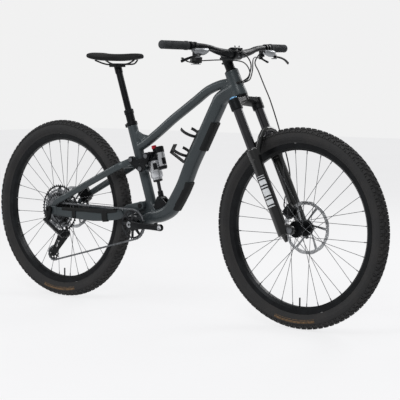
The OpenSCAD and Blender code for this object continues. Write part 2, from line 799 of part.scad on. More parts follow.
// Spokes cross three others on their way from each flange to the rim
module spokes(left_y, right_y) {
    rim_r = bead_r - rim_depth - seat_gap;
    per_side = spoke_count / 2;
    lead = 3 * 360 / per_side - 3;
    face = 2.1 + spoke_d / 2;
    for (side = [0, 1], i = [0:per_side - 1]) {
        turn = (2 * i + side + 0.5) * 360 / spoke_count - 90;
        way = i % 2 == 0 ? 1 : -1;
        hub_a = turn + way * lead;
        out = side == 0 ? left_y + way * face : right_y - way * face;
        a = [hub_hole_r * cos(hub_a), out, hub_hole_r * sin(hub_a)];
        b = [rim_r * cos(turn), side == 0 ? 3.5 : -3.5, rim_r * sin(turn)];
        along(a, b) cylinder(h = norm(b - a), r = spoke_d / 2, $fn = 16);
    }
}

module hub_shell(left_y, right_y, barrel_r) {
    for (y = [left_y, right_y]) translate([0, y - 1.5, 0]) sideways() cylinder(h = 3, r = hub_hole_r + 3);
    translate([0, right_y, 0]) sideways() cylinder(h = left_y - right_y, r = barrel_r);
}

module rotor(r) {
    plate(-rotor_t / 2, rotor_t / 2) {
        difference() {
            circle(r = r, $fn = 96);
            circle(r = r - 15, $fn = 96);
        }
        difference() {
            circle(r = 27);
            circle(r = 18);
        }
        for (k = [0:5]) rotate(60 * k + 12) translate([20, -4]) square([r - 32, 8]);
    }
}

module at_front() { translate(lift(front_axle_xz)) children(); }
module at_rear() { translate(lift(rear_axle_xz)) children(); }
front_left_y = 24;
front_right_y = -30;
rear_left_y = 34;
rear_right_y = -19;

module front_tyre() { color(rubber) at_front() tyre(); }
module front_rim() { color(black) at_front() rim(); }
module front_spokes() { color(steel) at_front() spokes(front_left_y, front_right_y); }

module front_hub() {
    color(black) at_front() difference() {
        union() {
            hub_shell(front_left_y, front_right_y, 16);
            translate([0, -front_half + seat_gap, 0]) sideways() cylinder(h = 2 * front_half - 2 * seat_gap, r = 10);
            translate([0, front_rotor_y - rotor_t / 2 - seat_gap - 12, 0]) sideways() cylinder(h = 12, r = 24);
        }
        translate([0, -80, 0]) sideways() cylinder(h = 160, r = axle_front_r + run_gap);
    }
}

module front_rotor() { color(steel) at_front() translate([0, front_rotor_y, 0]) rotor(front_rotor_d / 2); }

module rear_tyre() { color(rubber) at_rear() tyre(); }
module rear_rim() { color(black) at_rear() rim(); }
module rear_spokes() { color(steel) at_rear() spokes(rear_left_y, rear_right_y); }

cassette_bore_r = 10.5;

module rear_hub() {
    color(black) at_rear() difference() {
        union() {
            hub_shell(rear_left_y, rear_right_y, 18);
            translate([0, -rear_half + seat_gap, 0]) sideways()
                cylinder(h = 2 * rear_half - 2 * seat_gap, r = cassette_bore_r - run_gap);
            translate([0, rear_left_y, 0]) sideways()
                cylinder(h = rear_rotor_y - rotor_t / 2 - seat_gap - rear_left_y, r = 22);
        }
        translate([0, -90, 0]) sideways() cylinder(h = 180, r = axle_rear_r + run_gap);
    }
}

module rear_rotor() { color(steel) at_rear() translate([0, rear_rotor_y, 0]) rotor(rear_rotor_d / 2); }

// ---- rear triangle -------------------------------------------------------------------------
arm_in = 20.5;
arm_out = 40;
tyre_front_x = rear_axle_xz[0] + tyre_r;
yoke_back_x = tyre_front_x + 9;

module chainstay_yoke() {
    color(paint) difference() {
        union() {
            pair() {
                plate(arm_in, arm_out) polygon([main_pivot + [4, 17], main_pivot + [14, 4], main_pivot + [2, -17],
                    [yoke_back_x, tyre_r - 12], [yoke_back_x - 12, tyre_r - 8],
                    [yoke_back_x - 12, tyre_r + 30], [yoke_back_x + 10, tyre_r + 42]]);
                cross_bar(main_pivot, arm_in, arm_out, pivot_d / 2 + 11);
            }
            plate(-arm_in, arm_in) polygon([[yoke_back_x, tyre_r - 12], [yoke_back_x, tyre_r + 34],
                [yoke_back_x + 26, tyre_r + 44], [yoke_back_x + 26, tyre_r - 4]]);
        }
        cross_bar(main_pivot, -60, 60, pivot_d / 2 + 0.02);
        // Room for the bottom bracket shell and for the tyre
        cross_bar(bb, -60, 60, bb_shell_r + 3);
        translate(lift(rear_axle_xz, -tyre_w / 2 - 5)) sideways() cylinder(h = tyre_w + 10, r = tyre_r + 8, $fn = 96);
    }
}

dropout_in = 79.8;
dropout_out = 87;
stay_mid_z = tyre_r - 8;

module stay_left() {
    back = rear_axle_xz[0];
    front = yoke_back_x - 12;
    sweep(smooth([[front, 41, stay_mid_z + 17, 13, 42], [front - 40, 45, stay_mid_z + 4, 14, chainstay_h],
        [mix(front, back, 0.4), 57, stay_mid_z - 3, 19, chainstay_h + 6],
        [mix(front, back, 0.65), 62.5, stay_mid_z - 1, 16, chainstay_h + 2],
        [back + 84, 69, stay_mid_z, 13, chainstay_h - 3], [back + 44, 76, stay_mid_z + 1, 11, chainstay_h - 6],
        [back + 20, 83, stay_mid_z + 2, 7, chainstay_h - 8]], 3), sides = 16, square = 0.7);
    cross_bar(rear_axle_xz, dropout_in, dropout_out, 19);
    translate([back, dropout_in, tyre_r - 18]) cube([36, dropout_out - dropout_in, 34]);
}

module chainstays() {
    color(paint) difference() {
        pair() stay_left();
        cross_bar(rear_axle_xz, -100, 100, axle_rear_r + 0.02);
    }
}

module rear_axle() {
    color(black) {
        cross_bar(rear_axle_xz, -dropout_out - 8, dropout_out + 1, axle_rear_r);
        cross_bar(rear_axle_xz, dropout_out + 1, dropout_out + 4, 10);
        cross_bar(main_pivot, -arm_out - 1, arm_out + 1, pivot_d / 2);
        pair() cross_bar(main_pivot, arm_out + 1, arm_out + 3, pivot_d / 2 + 3);
    }
}

ear_in = 26;
ear_out = 36.5;
// The dropout's hole leaves room for the seatstay's small slip against the axle
slip = 4.2;

module seatstay_left() {
    back = rear_axle_xz;
    p = stay_pivot;
    sweep(smooth([[p[0] - 6, 31.2, p[1] - 3, 10, seatstay_h - 4], [p[0] - 22, 30.6, p[1] - 10, 10, seatstay_h - 1],
        [p[0] - 46, 42, p[1] - 22, 13, seatstay_h],
        [p[0] - 74, 54, p[1] - 36, 15, seatstay_h], [p[0] - 210, 62, p[1] - 102, 16, seatstay_h],
        [back[0] + 84, 69.5, back[1] + 62, 14, seatstay_h - 2], [back[0] + 28, 76.5, back[1] + 34, 5, 24],
        [back[0] + 8, 76.8, back[1] + 10, 4.6, 22]], 3), sides = 16, square = 0.75);
    cross_bar(p, ear_in, ear_out, pivot_d / 2 + 8);
    cross_bar(back, rear_half + 0.4, dropout_in - 0.4, 19);
}

module seatstays() {
    color(paint) difference() {
        union() {
            pair() seatstay_left();
            cross_bar(stay_pivot + [-68, -34], -52, 52, 6);
        }
        cross_bar(rear_axle_xz, -100, 100, axle_rear_r + slip);
        cross_bar(stay_pivot, -60, 60, pivot_d / 2 + run_gap);
    }
}

module rear_caliper() {
    color(black) difference() {
        translate(lift(rear_axle_xz, rear_rotor_y)) rotate([0, 52, 0]) union() {
            caliper(rear_rotor_d / 2);
            translate([-24, -4, rear_rotor_d / 2 + 12]) cube([48, 14, 14]);
        }
        // Room for the seatstay
        seatstay_grown();
    }
}

module seatstay_grown() {
    back = rear_axle_xz;
    p = stay_pivot;
    sweep(smooth([[p[0] - 210, 62, p[1] - 102, 16.6, seatstay_h + 0.6],
        [back[0] + 84, 69.5, back[1] + 62, 14.6, seatstay_h - 1.4],
        [back[0] + 28, 76.5, back[1] + 34, 5.6, 24.6]], 6), sides = 16, square = 0.75);
}

link_in = 37;
link_out = 45;

module rocker_links() {
    boss = pivot_d / 2 + 8;
    color(black) pair() difference() {
        union() {
            hull() for (p = [stay_pivot, rocker_pivot]) cross_bar(p, link_in, link_out, boss, $fn = 32);
            hull() for (p = [rocker_pivot, shock_top]) cross_bar(p, link_in, link_out, boss, $fn = 32);
            hull() for (p = [mix(stay_pivot, rocker_pivot, 0.3), mix(rocker_pivot, shock_top, 0.8)])
                cross_bar(p, link_in + 1, link_out - 1, 8, $fn = 32);
        }
        for (p = [stay_pivot, rocker_pivot, shock_top])
            cross_bar(p, link_in - 1, link_out + 1, pivot_d / 2 + 0.02);
    }
}

module rocker_pins() {
    color(steel) pair() {
        cross_bar(stay_pivot, ear_in, link_out + 1, pivot_d / 2);
        cross_bar(rocker_pivot, 13, link_out + 1, pivot_d / 2);
        cross_bar(shock_top, 15, link_out + 1, pivot_d / 2);
        for (p = [stay_pivot, rocker_pivot, shock_top])
            cross_bar(p, link_out + 0.3, link_out + 3, pivot_d / 2 + 3.5);
    }
}

// ---- shock ---------------------------------------------------------------------------------
shock_axis = unit(lift(shock_top) - lift(shock_foot));
can_head = 16;
can_mouth = 100;
can_play = 3.5;
shaft_len = 104;

// Puts its children on the shock's axis, with Z from the top eye down to the foot
module shock_frame() { along(lift(shock_top), lift(shock_foot)) children(); }

module shock_can() {
    color([0.75, 0.76, 0.78]) difference() {
        union() {
            cross_bar(shock_top, -27, 27, can_head);
            shock_frame() {
                translate([0, 0, 6]) cylinder(h = can_mouth - 16, r = shock_can_d / 2);
                translate([0, 0, can_mouth - 10]) cylinder(h = 10, r = shock_can_d / 2 - 5);
                // Reservoir, in front of the can
                translate([-40, 0, -28]) cylinder(h = 92, r = 17);
                translate([-44, -13, -16]) cube([42, 26, 26]);
                // Adjuster knob on the head
                translate([-14, 0, -38]) cylinder(h = 24, r = 10);
            }
        }
        shock_frame() translate([0, 0, can_head + 1.5]) cylinder(h = can_mouth, r = shock_shaft_d / 2 + can_play);
        for (s = [0, 180]) translate(lift(shock_top)) rotate([0, 0, s]) translate([0, 14, 0])
            sideways() cylinder(h = 20, r = pivot_d / 2 + run_gap);
    }
}

module shock_shaft() {
    color(black) difference() {
        union() {
            along(lift(shock_foot), lift(shock_top)) cylinder(h = shaft_len, r = shock_shaft_d / 2);
            along(lift(shock_foot), lift(shock_top)) cylinder(h = 22, r = 11);
            cross_bar(shock_foot, -12, 12, pivot_d / 2 + 7);
        }
        cross_bar(shock_foot, -20, 20, pivot_d / 2 + run_gap);
    }
}

// ---- drivetrain ----------------------------------------------------------------------------
module cassette() {
    inner_y = chain_y + 9 * cog_step + tooth_t / 2;
    outer_y = chain_y - 2 * cog_step - 3;
    color([0.3, 0.3, 0.32]) at_rear() difference() {
        union() {
            for (i = [0:len(cogs) - 1])
                translate([0, chain_y + (i - 2) * cog_step - tooth_t / 2, 0]) sideways()
                    cylinder(h = tooth_t, r = pitch_r(cogs[i]) + 1.5, $fn = 64);
            translate([0, outer_y, 0]) sideways() cylinder(h = inner_y - outer_y, r = 16);
        }
        translate([0, -90, 0]) sideways() cylinder(h = 90, r = cassette_bore_r);
    }
}

crank_in = 74;
pedal_in = 75;
pedal_out = 88.5;

module crank_arm() {
    difference() {
        union() {
            hull() {
                cross_bar(bb, 66, 80, 19, $fn = 32);
                cross_bar(bb + [50, 0], crank_in, 84, 13, $fn = 32);
            }
            hull() {
                cross_bar(bb + [50, 0], crank_in, 84, 13, $fn = 32);
                cross_bar(bb + [crank_len, 0], pedal_in, pedal_out, 14, $fn = 32);
            }
        }
        cross_bar(bb + [crank_len, 0], 60, 100, pedal_thread_r);
        cross_bar(bb, 60, 81, spindle_r + 0.02);
    }
}

module crankset() {
    color(black) {
        mirror([0, 1, 0]) crank_arm();
        translate(lift(bb)) rotate([0, 180, 0]) translate(-lift(bb)) crank_arm();
        cross_bar(bb, -80, 80, spindle_r);
        // Chainring with its spider
        ring_r = pitch_r(ring_teeth);
        difference() {
            union() {
                at(bb, chain_y - tooth_t / 2) difference() {
                    cylinder(h = tooth_t, r = ring_r + 1.5, $fn = 96);
                    translate([0, 0, -1]) cylinder(h = 4, r = ring_r - 10, $fn = 96);
                }
                for (k = [0:3]) translate(lift(bb)) rotate([0, 45 + 90 * k, 0])
                    translate([16, chain_y - tooth_t / 2, -6]) cube([ring_r - 24, 3, 12]);
                cross_bar(bb, -66 + seat_gap, chain_y + 6, 22);
            }
            cross_bar(bb, -90, 90, spindle_r + 0.02);
        }
    }
}

// The chain's wheels in the order that it runs: [centre, radius, turn], 1 for clockwise
chain_wheels = [[rear_axle_xz, pitch_r(cog_teeth), 1], [bb, pitch_r(ring_teeth), 1],
    [tension_xz, pitch_r(tension_teeth), 1], [guide_xz, pitch_r(guide_teeth), -1]];

// Direction of the straight run from wheel a to wheel b
function run_angle(a, b) = let (d = b[0] - a[0], q = a[2] * a[1] - b[2] * b[1])
    atan2(d[1], d[0]) - atan2(q, sqrt(d * d - q * q));

// Points of the loop at a distance off to the left of the chain's middle line
function chain_loop(off, steps = 14) = [for (i = [0:3])
    let (w = chain_wheels[i], before = chain_wheels[(i + 3) % 4], after = chain_wheels[(i + 1) % 4],
         a = run_angle(before, w) + 90 * w[2], raw = run_angle(w, after) + 90 * w[2],
         b = w[2] > 0 ? a - (((a - raw) % 360) + 360) % 360 : a + (((raw - a) % 360) + 360) % 360)
    for (k = [0:steps]) let (g = mix(a, b, k / steps)) w[0] + (w[1] + w[2] * off) * [cos(g), sin(g)]];

module chain() {
    color([0.55, 0.55, 0.56]) {
        for (s = [-1, 1])
            plate(chain_y + min(s * plate_in, s * plate_out), chain_y + max(s * plate_in, s * plate_out))
                difference() {
                    polygon(chain_loop(chain_half_h));
                    polygon(chain_loop(-chain_half_h));
                }
        // Rollers on the two long runs
        for (i = [0, 1]) {
            w = chain_wheels[i];
            v = chain_wheels[i + 1];
            g = run_angle(w, v);
            start = w[0] + w[1] * [cos(g + 90), sin(g + 90)];
            stop = v[0] + v[1] * [cos(g + 90), sin(g + 90)];
            for (k = [2:6]) cross_bar(mix(start, stop, k / 8), chain_y - plate_out, chain_y + plate_out, 3.6);
        }
    }
}

module mech_boss(p, r, from, to) { along(p + from * mech_axis, p + to * mech_axis) cylinder(h = to - from, r = r, $fn = 32); }

module derailleur_mount() {
    color(black) difference() {
        union() {
            hull() {
                cross_bar(rear_axle_xz, -dropout_out - 10, -dropout_out - seat_gap, 15, $fn = 32);
                mech_boss(mech_b, 12, 4, 15);
            }
            mech_boss(mech_b, 11, 0.3, 15);
            mech_boss(mech_b, 4, -13, 1);
        }
        cross_bar(rear_axle_xz, -110, -60, axle_rear_r + 0.02);
        translate([rear_axle_xz[0] - 60, -dropout_out - seat_gap, 200]) cube([120, 40, 250]);
    }
}

module derailleur_link() {
    color(black) difference() {
        hull() {
            mech_boss(mech_b, 12, -13, 0);
            mech_boss(mech_p, 14, -13, 0);
        }
        for (p = [mech_b, mech_p]) mech_boss(p, 4 + run_gap, -20, 20);
    }
}

cage_out_y = chain_y - plate_out - 3.3;
cage_in_y = chain_y + plate_out + 0.8;

knuckle_in_y = cage_out_y - 2;

module derailleur_knuckle() {
    color(black) difference() {
        union() {
            mech_boss(mech_p, 4, -12, 1);
            mech_boss(mech_p, 14, 0.3, 13);
            cross_bar(knuckle_xz, -88, knuckle_in_y, 17);
        }
        mech_boss(mech_p, 40, -30, 0.25);
    }
    color(black) {
        mech_boss(mech_p, 4, -12, 1);
        cross_bar(knuckle_xz, knuckle_in_y - 1, knuckle_in_y + 6, 6);
    }
}

module derailleur_cage() {
    color(black) {
        // Outer plate, which turns on the knuckle's stub
        difference() {
            union() {
                hull() for (p = [guide_xz, tension_xz]) cross_bar(p, cage_out_y, cage_out_y + 2.2, 12, $fn = 32);
                hull() for (p = [guide_xz, knuckle_xz])
                    cross_bar(p, cage_out_y - 1.6, cage_out_y + 2.2, 14, $fn = 32);
            }
            cross_bar(knuckle_xz, -100, -40, 6 + run_gap);
        }
        hull() for (p = [guide_xz, tension_xz]) cross_bar(p, cage_in_y, cage_in_y + 2.2, 12, $fn = 32);
        for (p = [guide_xz, tension_xz]) cross_bar(p, cage_out_y, cage_in_y + 2.2, 4);
    }
}

module jockey(p, teeth) {
    color(black) difference() {
        cross_bar(p, chain_y - tooth_t / 2, chain_y + tooth_t / 2, pitch_r(teeth) + 1.5);
        cross_bar(p, chain_y - 5, chain_y + 5, 4 + run_gap);
    }
}

module guide_pulley() { jockey(guide_xz, guide_teeth); }
module tension_pulley() { jockey(tension_xz, tension_teeth); }

// ---- seat ----------------------------------------------------------------------------------
collar_s = 478;
head_s = 671;

module dropper_outer() {
    foot = seat_tube_low + 8;
    color(black) seat() translate([0, 0, foot]) difference() {
        union() {
            cylinder(h = collar_s - foot, r = post_outer_d / 2);
            translate([0, 0, collar_s - foot - 14]) cylinder(h = 16, r = post_outer_d / 2 + 2);
        }
        translate([0, 0, 4]) cylinder(h = collar_s, r = post_inner_d / 2 + run_gap);
    }
}

module dropper_post() {
    low = seat_tube_low + 8 + 4 + post_travel + 2;
    head = seat_point(head_s);
    rail_z = head[2] + 3;
    color(black) {
        seat() {
            translate([0, 0, low]) cylinder(h = head_s - 14 - low, r = post_inner_d / 2);
            translate([0, 0, head_s - 34]) cylinder(h = 28, r = 15.5);
        }
        // Rail clamps and rails
        translate([head[0] - 20, -28, rail_z - 11]) cube([40, 56, 15]);
        pair() sweep(smooth([[head[0] + 100, 10, rail_z + 17, 7, 7], [head[0] + 74, 19, rail_z + 2, 7, 7],
            [head[0] + 30, 22, rail_z, 7, 7], [head[0] - 40, 22, rail_z, 7, 7],
            [head[0] - 94, 32, rail_z + 17, 7, 7]], 3), sides = 8);
    }
}

saddle_tip_x = seat_point(head_s)[0] + 132;
saddle_top_z = seat_point(head_s)[2] + 46;

module saddle() {
    // Rows of [distance behind the tip, height of the middle, width, depth]
    rows = [[0, -14, 18, 12], [6, -12, 32, 22], [50, -14, 42, 30], [100, -16, 56, 32],
        [150, -16, 88, 32], [195, -14, 126, 32], [225, -10, 144, 30], [244, -7, 130, 26], [255, -6, 96, 20], [260, -6, 60, 12]];
    color(black) sweep(smooth([for (r = rows) [saddle_tip_x - r[0] * saddle_len / 262, 0,
        saddle_top_z + r[1], r[2] * saddle_w / 144, r[3]]], 2), sides = 24, square = 0.8);
}

head_tube();
top_tube();
down_tube();
seat_tube();
bottom_bracket_shell();
bearing_cups();
shock_mount();
down_tube_guards();
bottle_cage();
seat_clamp();
dropper_outer();
fork_crown();
stanchions();
damper_dial();
stem();
stem_faceplate();
headset_spacers();
handlebar();
grips();
brake_bodies();
brake_lever_left();
brake_lever_right();
shifter_pod();
shift_paddle();
dropper_remote();
dropper_lever();
fork_lowers();
front_axle();
front_caliper();
front_tyre();
front_rim();
front_spokes();
front_hub();
front_rotor();
chainstay_yoke();
chainstays();
rear_axle();
seatstays();
rear_caliper();
rocker_links();
rocker_pins();
shock_can();
shock_shaft();
rear_tyre();
rear_rim();
rear_spokes();
rear_hub();
rear_rotor();
cassette();
crankset();
chain();
derailleur_mount();
derailleur_link();
derailleur_knuckle();
derailleur_cage();
guide_pulley();
tension_pulley();
dropper_post();
saddle();
control_cables();
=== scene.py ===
"""Looks of a full suspension mountain bike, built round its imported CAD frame.

Lengths in the code are millimetres in the row frame: +X forward, +Y to the rider's left and +Z up,
with the origin on the ground midway between the axles. Meshes are made in metres.
"""

import logging
import math
from dataclasses import dataclass, field
from enum import Enum
from typing import Iterable, Optional, Sequence

import bmesh
import bpy
from mathutils import Matrix, Vector


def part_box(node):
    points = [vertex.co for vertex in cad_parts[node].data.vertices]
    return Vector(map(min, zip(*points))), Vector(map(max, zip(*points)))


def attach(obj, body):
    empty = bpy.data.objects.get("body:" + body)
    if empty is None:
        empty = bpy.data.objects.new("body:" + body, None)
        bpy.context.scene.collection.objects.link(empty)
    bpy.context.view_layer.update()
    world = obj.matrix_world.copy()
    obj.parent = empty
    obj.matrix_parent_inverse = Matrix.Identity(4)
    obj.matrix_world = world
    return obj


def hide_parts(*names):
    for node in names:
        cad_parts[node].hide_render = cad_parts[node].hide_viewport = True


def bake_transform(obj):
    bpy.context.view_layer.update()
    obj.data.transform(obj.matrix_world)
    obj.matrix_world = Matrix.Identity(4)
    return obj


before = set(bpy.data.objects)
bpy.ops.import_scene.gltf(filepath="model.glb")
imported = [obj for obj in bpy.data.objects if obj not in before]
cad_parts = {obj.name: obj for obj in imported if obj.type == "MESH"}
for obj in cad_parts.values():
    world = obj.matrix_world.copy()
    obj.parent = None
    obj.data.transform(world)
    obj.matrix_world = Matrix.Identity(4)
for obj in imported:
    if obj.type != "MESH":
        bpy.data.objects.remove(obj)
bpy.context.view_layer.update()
log = logging.getLogger("bike")

MM = 0.001
Point = tuple[float, float, float]
Flat = tuple[float, float]

# Main points of the bike, as [x, z] in its plane of symmetry
REAR_AXLE: Flat = (-605.0, 374.0)
FRONT_AXLE: Flat = (605.0, 374.0)
CRANK: Flat = (-169.0, 340.0)
MAIN_PIVOT: Flat = (-145.0, 415.0)
STAY_PIVOT: Flat = (-190.0, 598.0)
ROCKER_PIVOT: Flat = (-140.0, 564.0)
SHOCK_TOP: Flat = (-110.0, 616.0)
SHOCK_FOOT: Flat = (-64.0, 444.0)
KNUCKLE: Flat = (-526.0, 277.0)
GUIDE: Flat = (-568.0, 266.0)
TENSION: Flat = (-612.0, 186.0)
CHAIN_Y = -57.0
PITCH = 12.7
GUIDE_TEETH = 12
TENSION_TEETH = 14
COG_STEP = 3.45
TOOTH_DEPTH = 3.9
TOOTH_RISE = 1.45
HEAD_TUBE_R = 27.0
PER_M = 1000
STEER_TILT = math.radians(25.5)
SEAT_TILT = math.radians(18.4)
UP = Vector((-math.sin(STEER_TILT), 0.0, math.cos(STEER_TILT)))
AHEAD = Vector((math.cos(STEER_TILT), 0.0, math.sin(STEER_TILT)))
STEER_FOOT = Vector((605.0, 0.0, 374.0)) - 44.0 * AHEAD
SEAT_UP = Vector((-math.sin(SEAT_TILT), 0.0, math.cos(SEAT_TILT)))
SEAT_FOOT = Vector((-89.0, 0.0, 340.0))


def steer_point(ahead: float, left: float, up: float) -> Vector:
    """Returns the point at these distances in the steering axis's frame."""
    return STEER_FOOT + up * UP + ahead * AHEAD + Vector((0.0, left, 0.0))


def seat_point(up: float, ahead: float = 0.0, left: float = 0.0) -> Vector:
    """Returns the point at these distances in the seat tube's frame."""
    side = Vector((math.cos(SEAT_TILT), 0.0, math.sin(SEAT_TILT)))
    return SEAT_FOOT + up * SEAT_UP + ahead * side + Vector((0.0, left, 0.0))


def at(flat: Flat, y: float = 0.0) -> Vector:
    """Returns the [x, z] point at a distance y to the left."""
    return Vector((flat[0], y, flat[1]))


def pitch_radius(teeth: int) -> float:
    """Returns the radius on which a chain's pins run round a sprocket."""
    return PITCH / 2 / math.sin(math.pi / teeth)


# ---- materials -----------------------------------------------------------------------------------


def linear(code: str) -> tuple[float, float, float, float]:
    """Turns an sRGB hex colour into linear values.

    Args:
        code: Six hex digits, such as "3a4042".

    Returns:
        Red, green, blue and an alpha of 1.
    """
    parts = [int(code[i : i + 2], 16) / 255 for i in (0, 2, 4)]
    out = [c / 12.92 if c <= 0.04045 else ((c + 0.055) / 1.055) ** 2.4 for c in parts]
    return (out[0], out[1], out[2], 1.0)


def add(tree: bpy.types.NodeTree, kind: str, feeds: Optional[dict] = None, **settings) -> bpy.types.Node:
    """Adds one node to a tree.

    Args:
        tree: The node tree.
        kind: The node's type name.
        feeds: Input name or number to a value, or to the output socket that feeds it.
        **settings: Properties of the node itself.

    Returns:
        The new node.
    """
    node = tree.nodes.new(kind)
    for name, value in settings.items():
        setattr(node, name, value)
    for name, value in (feeds or {}).items():
        if isinstance(value, bpy.types.NodeSocket):
            tree.links.new(value, node.inputs[name])
        else:
            node.inputs[name].default_value = value
    return node


class Surface(Enum):
    """How a surface was made, which decides its fine relief."""

    SPRAYED = "sprayed"
    MOULDED = "moulded"
    BRUSHED = "brushed"
    TURNED = "turned"
    PRESSED_RUBBER = "pressed rubber"
    LEATHERETTE = "leatherette"


@dataclass(frozen=True)
class Finish:
    """One material: what it is, how it was made and how it takes light.

    Attributes:
        name: The material's name.
        colour: Its main sRGB colour.
        second: The colour that it drifts to in worn or dusty places.
        surface: How the surface was made.
        grain: Size of the relief's grain in millimetres.
        depth: Height of the relief in millimetres.
        drift: Size of the patches of the second colour in millimetres.
        metallic: 1 for bare metal.
        roughness: Middle roughness.
        spread: How far the roughness wanders.
        coat: Weight of a clear coat.
        gloss: Specular level; 0.5 is plain plastic.
    """

    name: str
    colour: str
    second: str
    surface: Surface = Surface.MOULDED
    grain: float = 1.2
    depth: float = 0.05
    drift: float = 40.0
    metallic: float = 0.0
    roughness: float = 0.5
    spread: float = 0.1
    coat: float = 0.0
    gloss: float = 0.3

    def material(self) -> bpy.types.Material:
        """Builds the material once and returns it."""
        found = bpy.data.materials.get(self.name)
        if found:
            return found
        made = bpy.data.materials.new(self.name)
        made.use_nodes = True
        made.diffuse_color = linear(self.colour)
        tree = made.node_tree
        tree.nodes.clear()
        place = add(tree, "ShaderNodeTexCoord").outputs["Object"]
        patches = add(tree, "ShaderNodeTexNoise", {"Vector": place, "Scale": 1000 / self.drift, "Detail": 4.0})
        tint = add(
            tree, "ShaderNodeMapRange", {"Value": patches.outputs["Fac"], "From Min": 0.42, "From Max": 0.68}
        )
        colour = add(tree, "ShaderNodeMix", {"Factor": tint.outputs["Result"]}, data_type="RGBA")
        colour.inputs[6].default_value = linear(self.colour)
        colour.inputs[7].default_value = linear(self.second)
        rough = add(
            tree,
            "ShaderNodeMapRange",
            {
                "Value": patches.outputs["Fac"],
                "From Min": 0.3,
                "From Max": 0.7,
                "To Min": max(self.roughness - self.spread, 0.03),
                "To Max": self.roughness + self.spread,
            },
        )
        bump = add(
            tree,
            "ShaderNodeBump",
            {"Height": self._relief(tree, place), "Strength": 0.6, "Distance": self.depth * MM},
        )
        shader = add(
            tree,
            "ShaderNodeBsdfPrincipled",
            {
                "Base Color": colour.outputs[2],
                "Roughness": rough.outputs["Result"],
                "Normal": bump.outputs["Normal"],
                "Metallic": self.metallic,
                "Coat Weight": self.coat,
                "Coat Roughness": 0.12,
                "Specular IOR Level": self.gloss,
            },
        )
        add(tree, "ShaderNodeOutputMaterial", {"Surface": shader.outputs["BSDF"]})
        return made

    def _relief(self, tree: bpy.types.NodeTree, place: bpy.types.NodeSocket) -> bpy.types.NodeSocket:
        """Adds the pattern of the fine relief and returns its height socket."""
        scale = 1000 / self.grain
        if self.surface == Surface.LEATHERETTE:
            cells = add(
                tree, "ShaderNodeTexVoronoi", {"Vector": place, "Scale": scale}, feature="DISTANCE_TO_EDGE"
            )
            return cells.outputs["Distance"]
        if self.surface == Surface.BRUSHED:
            along = add(tree, "ShaderNodeMapping", {"Vector": place, "Scale": (0.06, 1.0, 1.0)})
            place = along.outputs["Vector"]
        if self.surface == Surface.TURNED:
            along = add(tree, "ShaderNodeMapping", {"Vector": place, "Scale": (1.0, 0.08, 1.0)})
            place = along.outputs["Vector"]
        detail = 6.0 if self.surface == Surface.PRESSED_RUBBER else 2.0
        return add(
            tree, "ShaderNodeTexNoise", {"Vector": place, "Scale": scale, "Detail": detail}
        ).outputs["Fac"]


# Satin powder coat on aluminium: a soft sheen with a faint orange peel
FRAME_PAINT = Finish(
    "satin_powder_coat", "31373a", "383f42", Surface.SPRAYED, 2.5, 0.03, 160, 0.2, 0.38, 0.05, 0.12
)
# Anodised aluminium, bead blasted first: even, dark and slightly soft
BLACK_ANODISED = Finish(
    "black_anodised_aluminium", "121315", "191b1d", Surface.SPRAYED, 0.8, 0.02, 30, 0.5, 0.4, 0.08, 0.0, 0.2
)
# Gloss paint on cast magnesium
GLOSS_BLACK = Finish(
    "gloss_black_magnesium", "0c0d0e", "131415", Surface.SPRAYED, 3.0, 0.02, 120, 0.0, 0.2, 0.04, 0.25, 0.5
)
# Moulded nylon covers: fine spark-eroded grain
GUARD = Finish(
    "moulded_nylon_guard", "101112", "181a1b", Surface.MOULDED, 1.4, 0.09, 50, 0.0, 0.62, 0.08, 0.0, 0.2
)
BLACK_PLASTIC = Finish(
    "moulded_nylon_black", "121314", "1b1c1e", Surface.MOULDED, 1.0, 0.05, 25, 0.0, 0.48, 0.08
)
GREY_PLASTIC = Finish("moulded_nylon_grey", "6a6c6f", "7b7d80", Surface.MOULDED, 1.0, 0.05, 25, 0.0, 0.45, 0.08)
# Hard bronze-black coating on ground aluminium tube: nearly a mirror
STANCHION = Finish("hard_coated_stanchion", "48484b", "3e3e41", Surface.TURNED, 0.6, 0.005, 80, 0.9, 0.16, 0.03)
# Forged and machined aluminium
GREY_ALLOY = Finish(
    "forged_aluminium_grey", "8b8d90", "9da0a3", Surface.BRUSHED, 0.8, 0.03, 20, 0.85, 0.36, 0.08
)
SILVER_ALLOY = Finish("machined_aluminium", "c9cbce", "b4b6ba", Surface.TURNED, 0.7, 0.02, 25, 0.9, 0.28, 0.08)
WHITE_PRINT = Finish(
    "printed_film_white", "c9ccce", "b9bcbf", Surface.SPRAYED, 2.0, 0.01, 15, 0.0, 0.35, 0.05, 0.3
)
# Stamped and ground stainless steel
STEEL = Finish("stainless_steel", "a9abad", "909295", Surface.BRUSHED, 0.9, 0.02, 18, 0.95, 0.3, 0.08)
SPOKE_STEEL = Finish("drawn_spoke_steel", "55575a", "48494b", Surface.BRUSHED, 0.9, 0.01, 30, 0.9, 0.32, 0.06)
DARK_STEEL = Finish("nickel_plated_steel", "6f7174", "4c4e50", Surface.TURNED, 0.9, 0.03, 12, 0.9, 0.34, 0.1)
COG_BLACK = Finish("blackened_steel", "1f2022", "3a3b3d", Surface.TURNED, 0.9, 0.03, 12, 0.8, 0.38, 0.1)
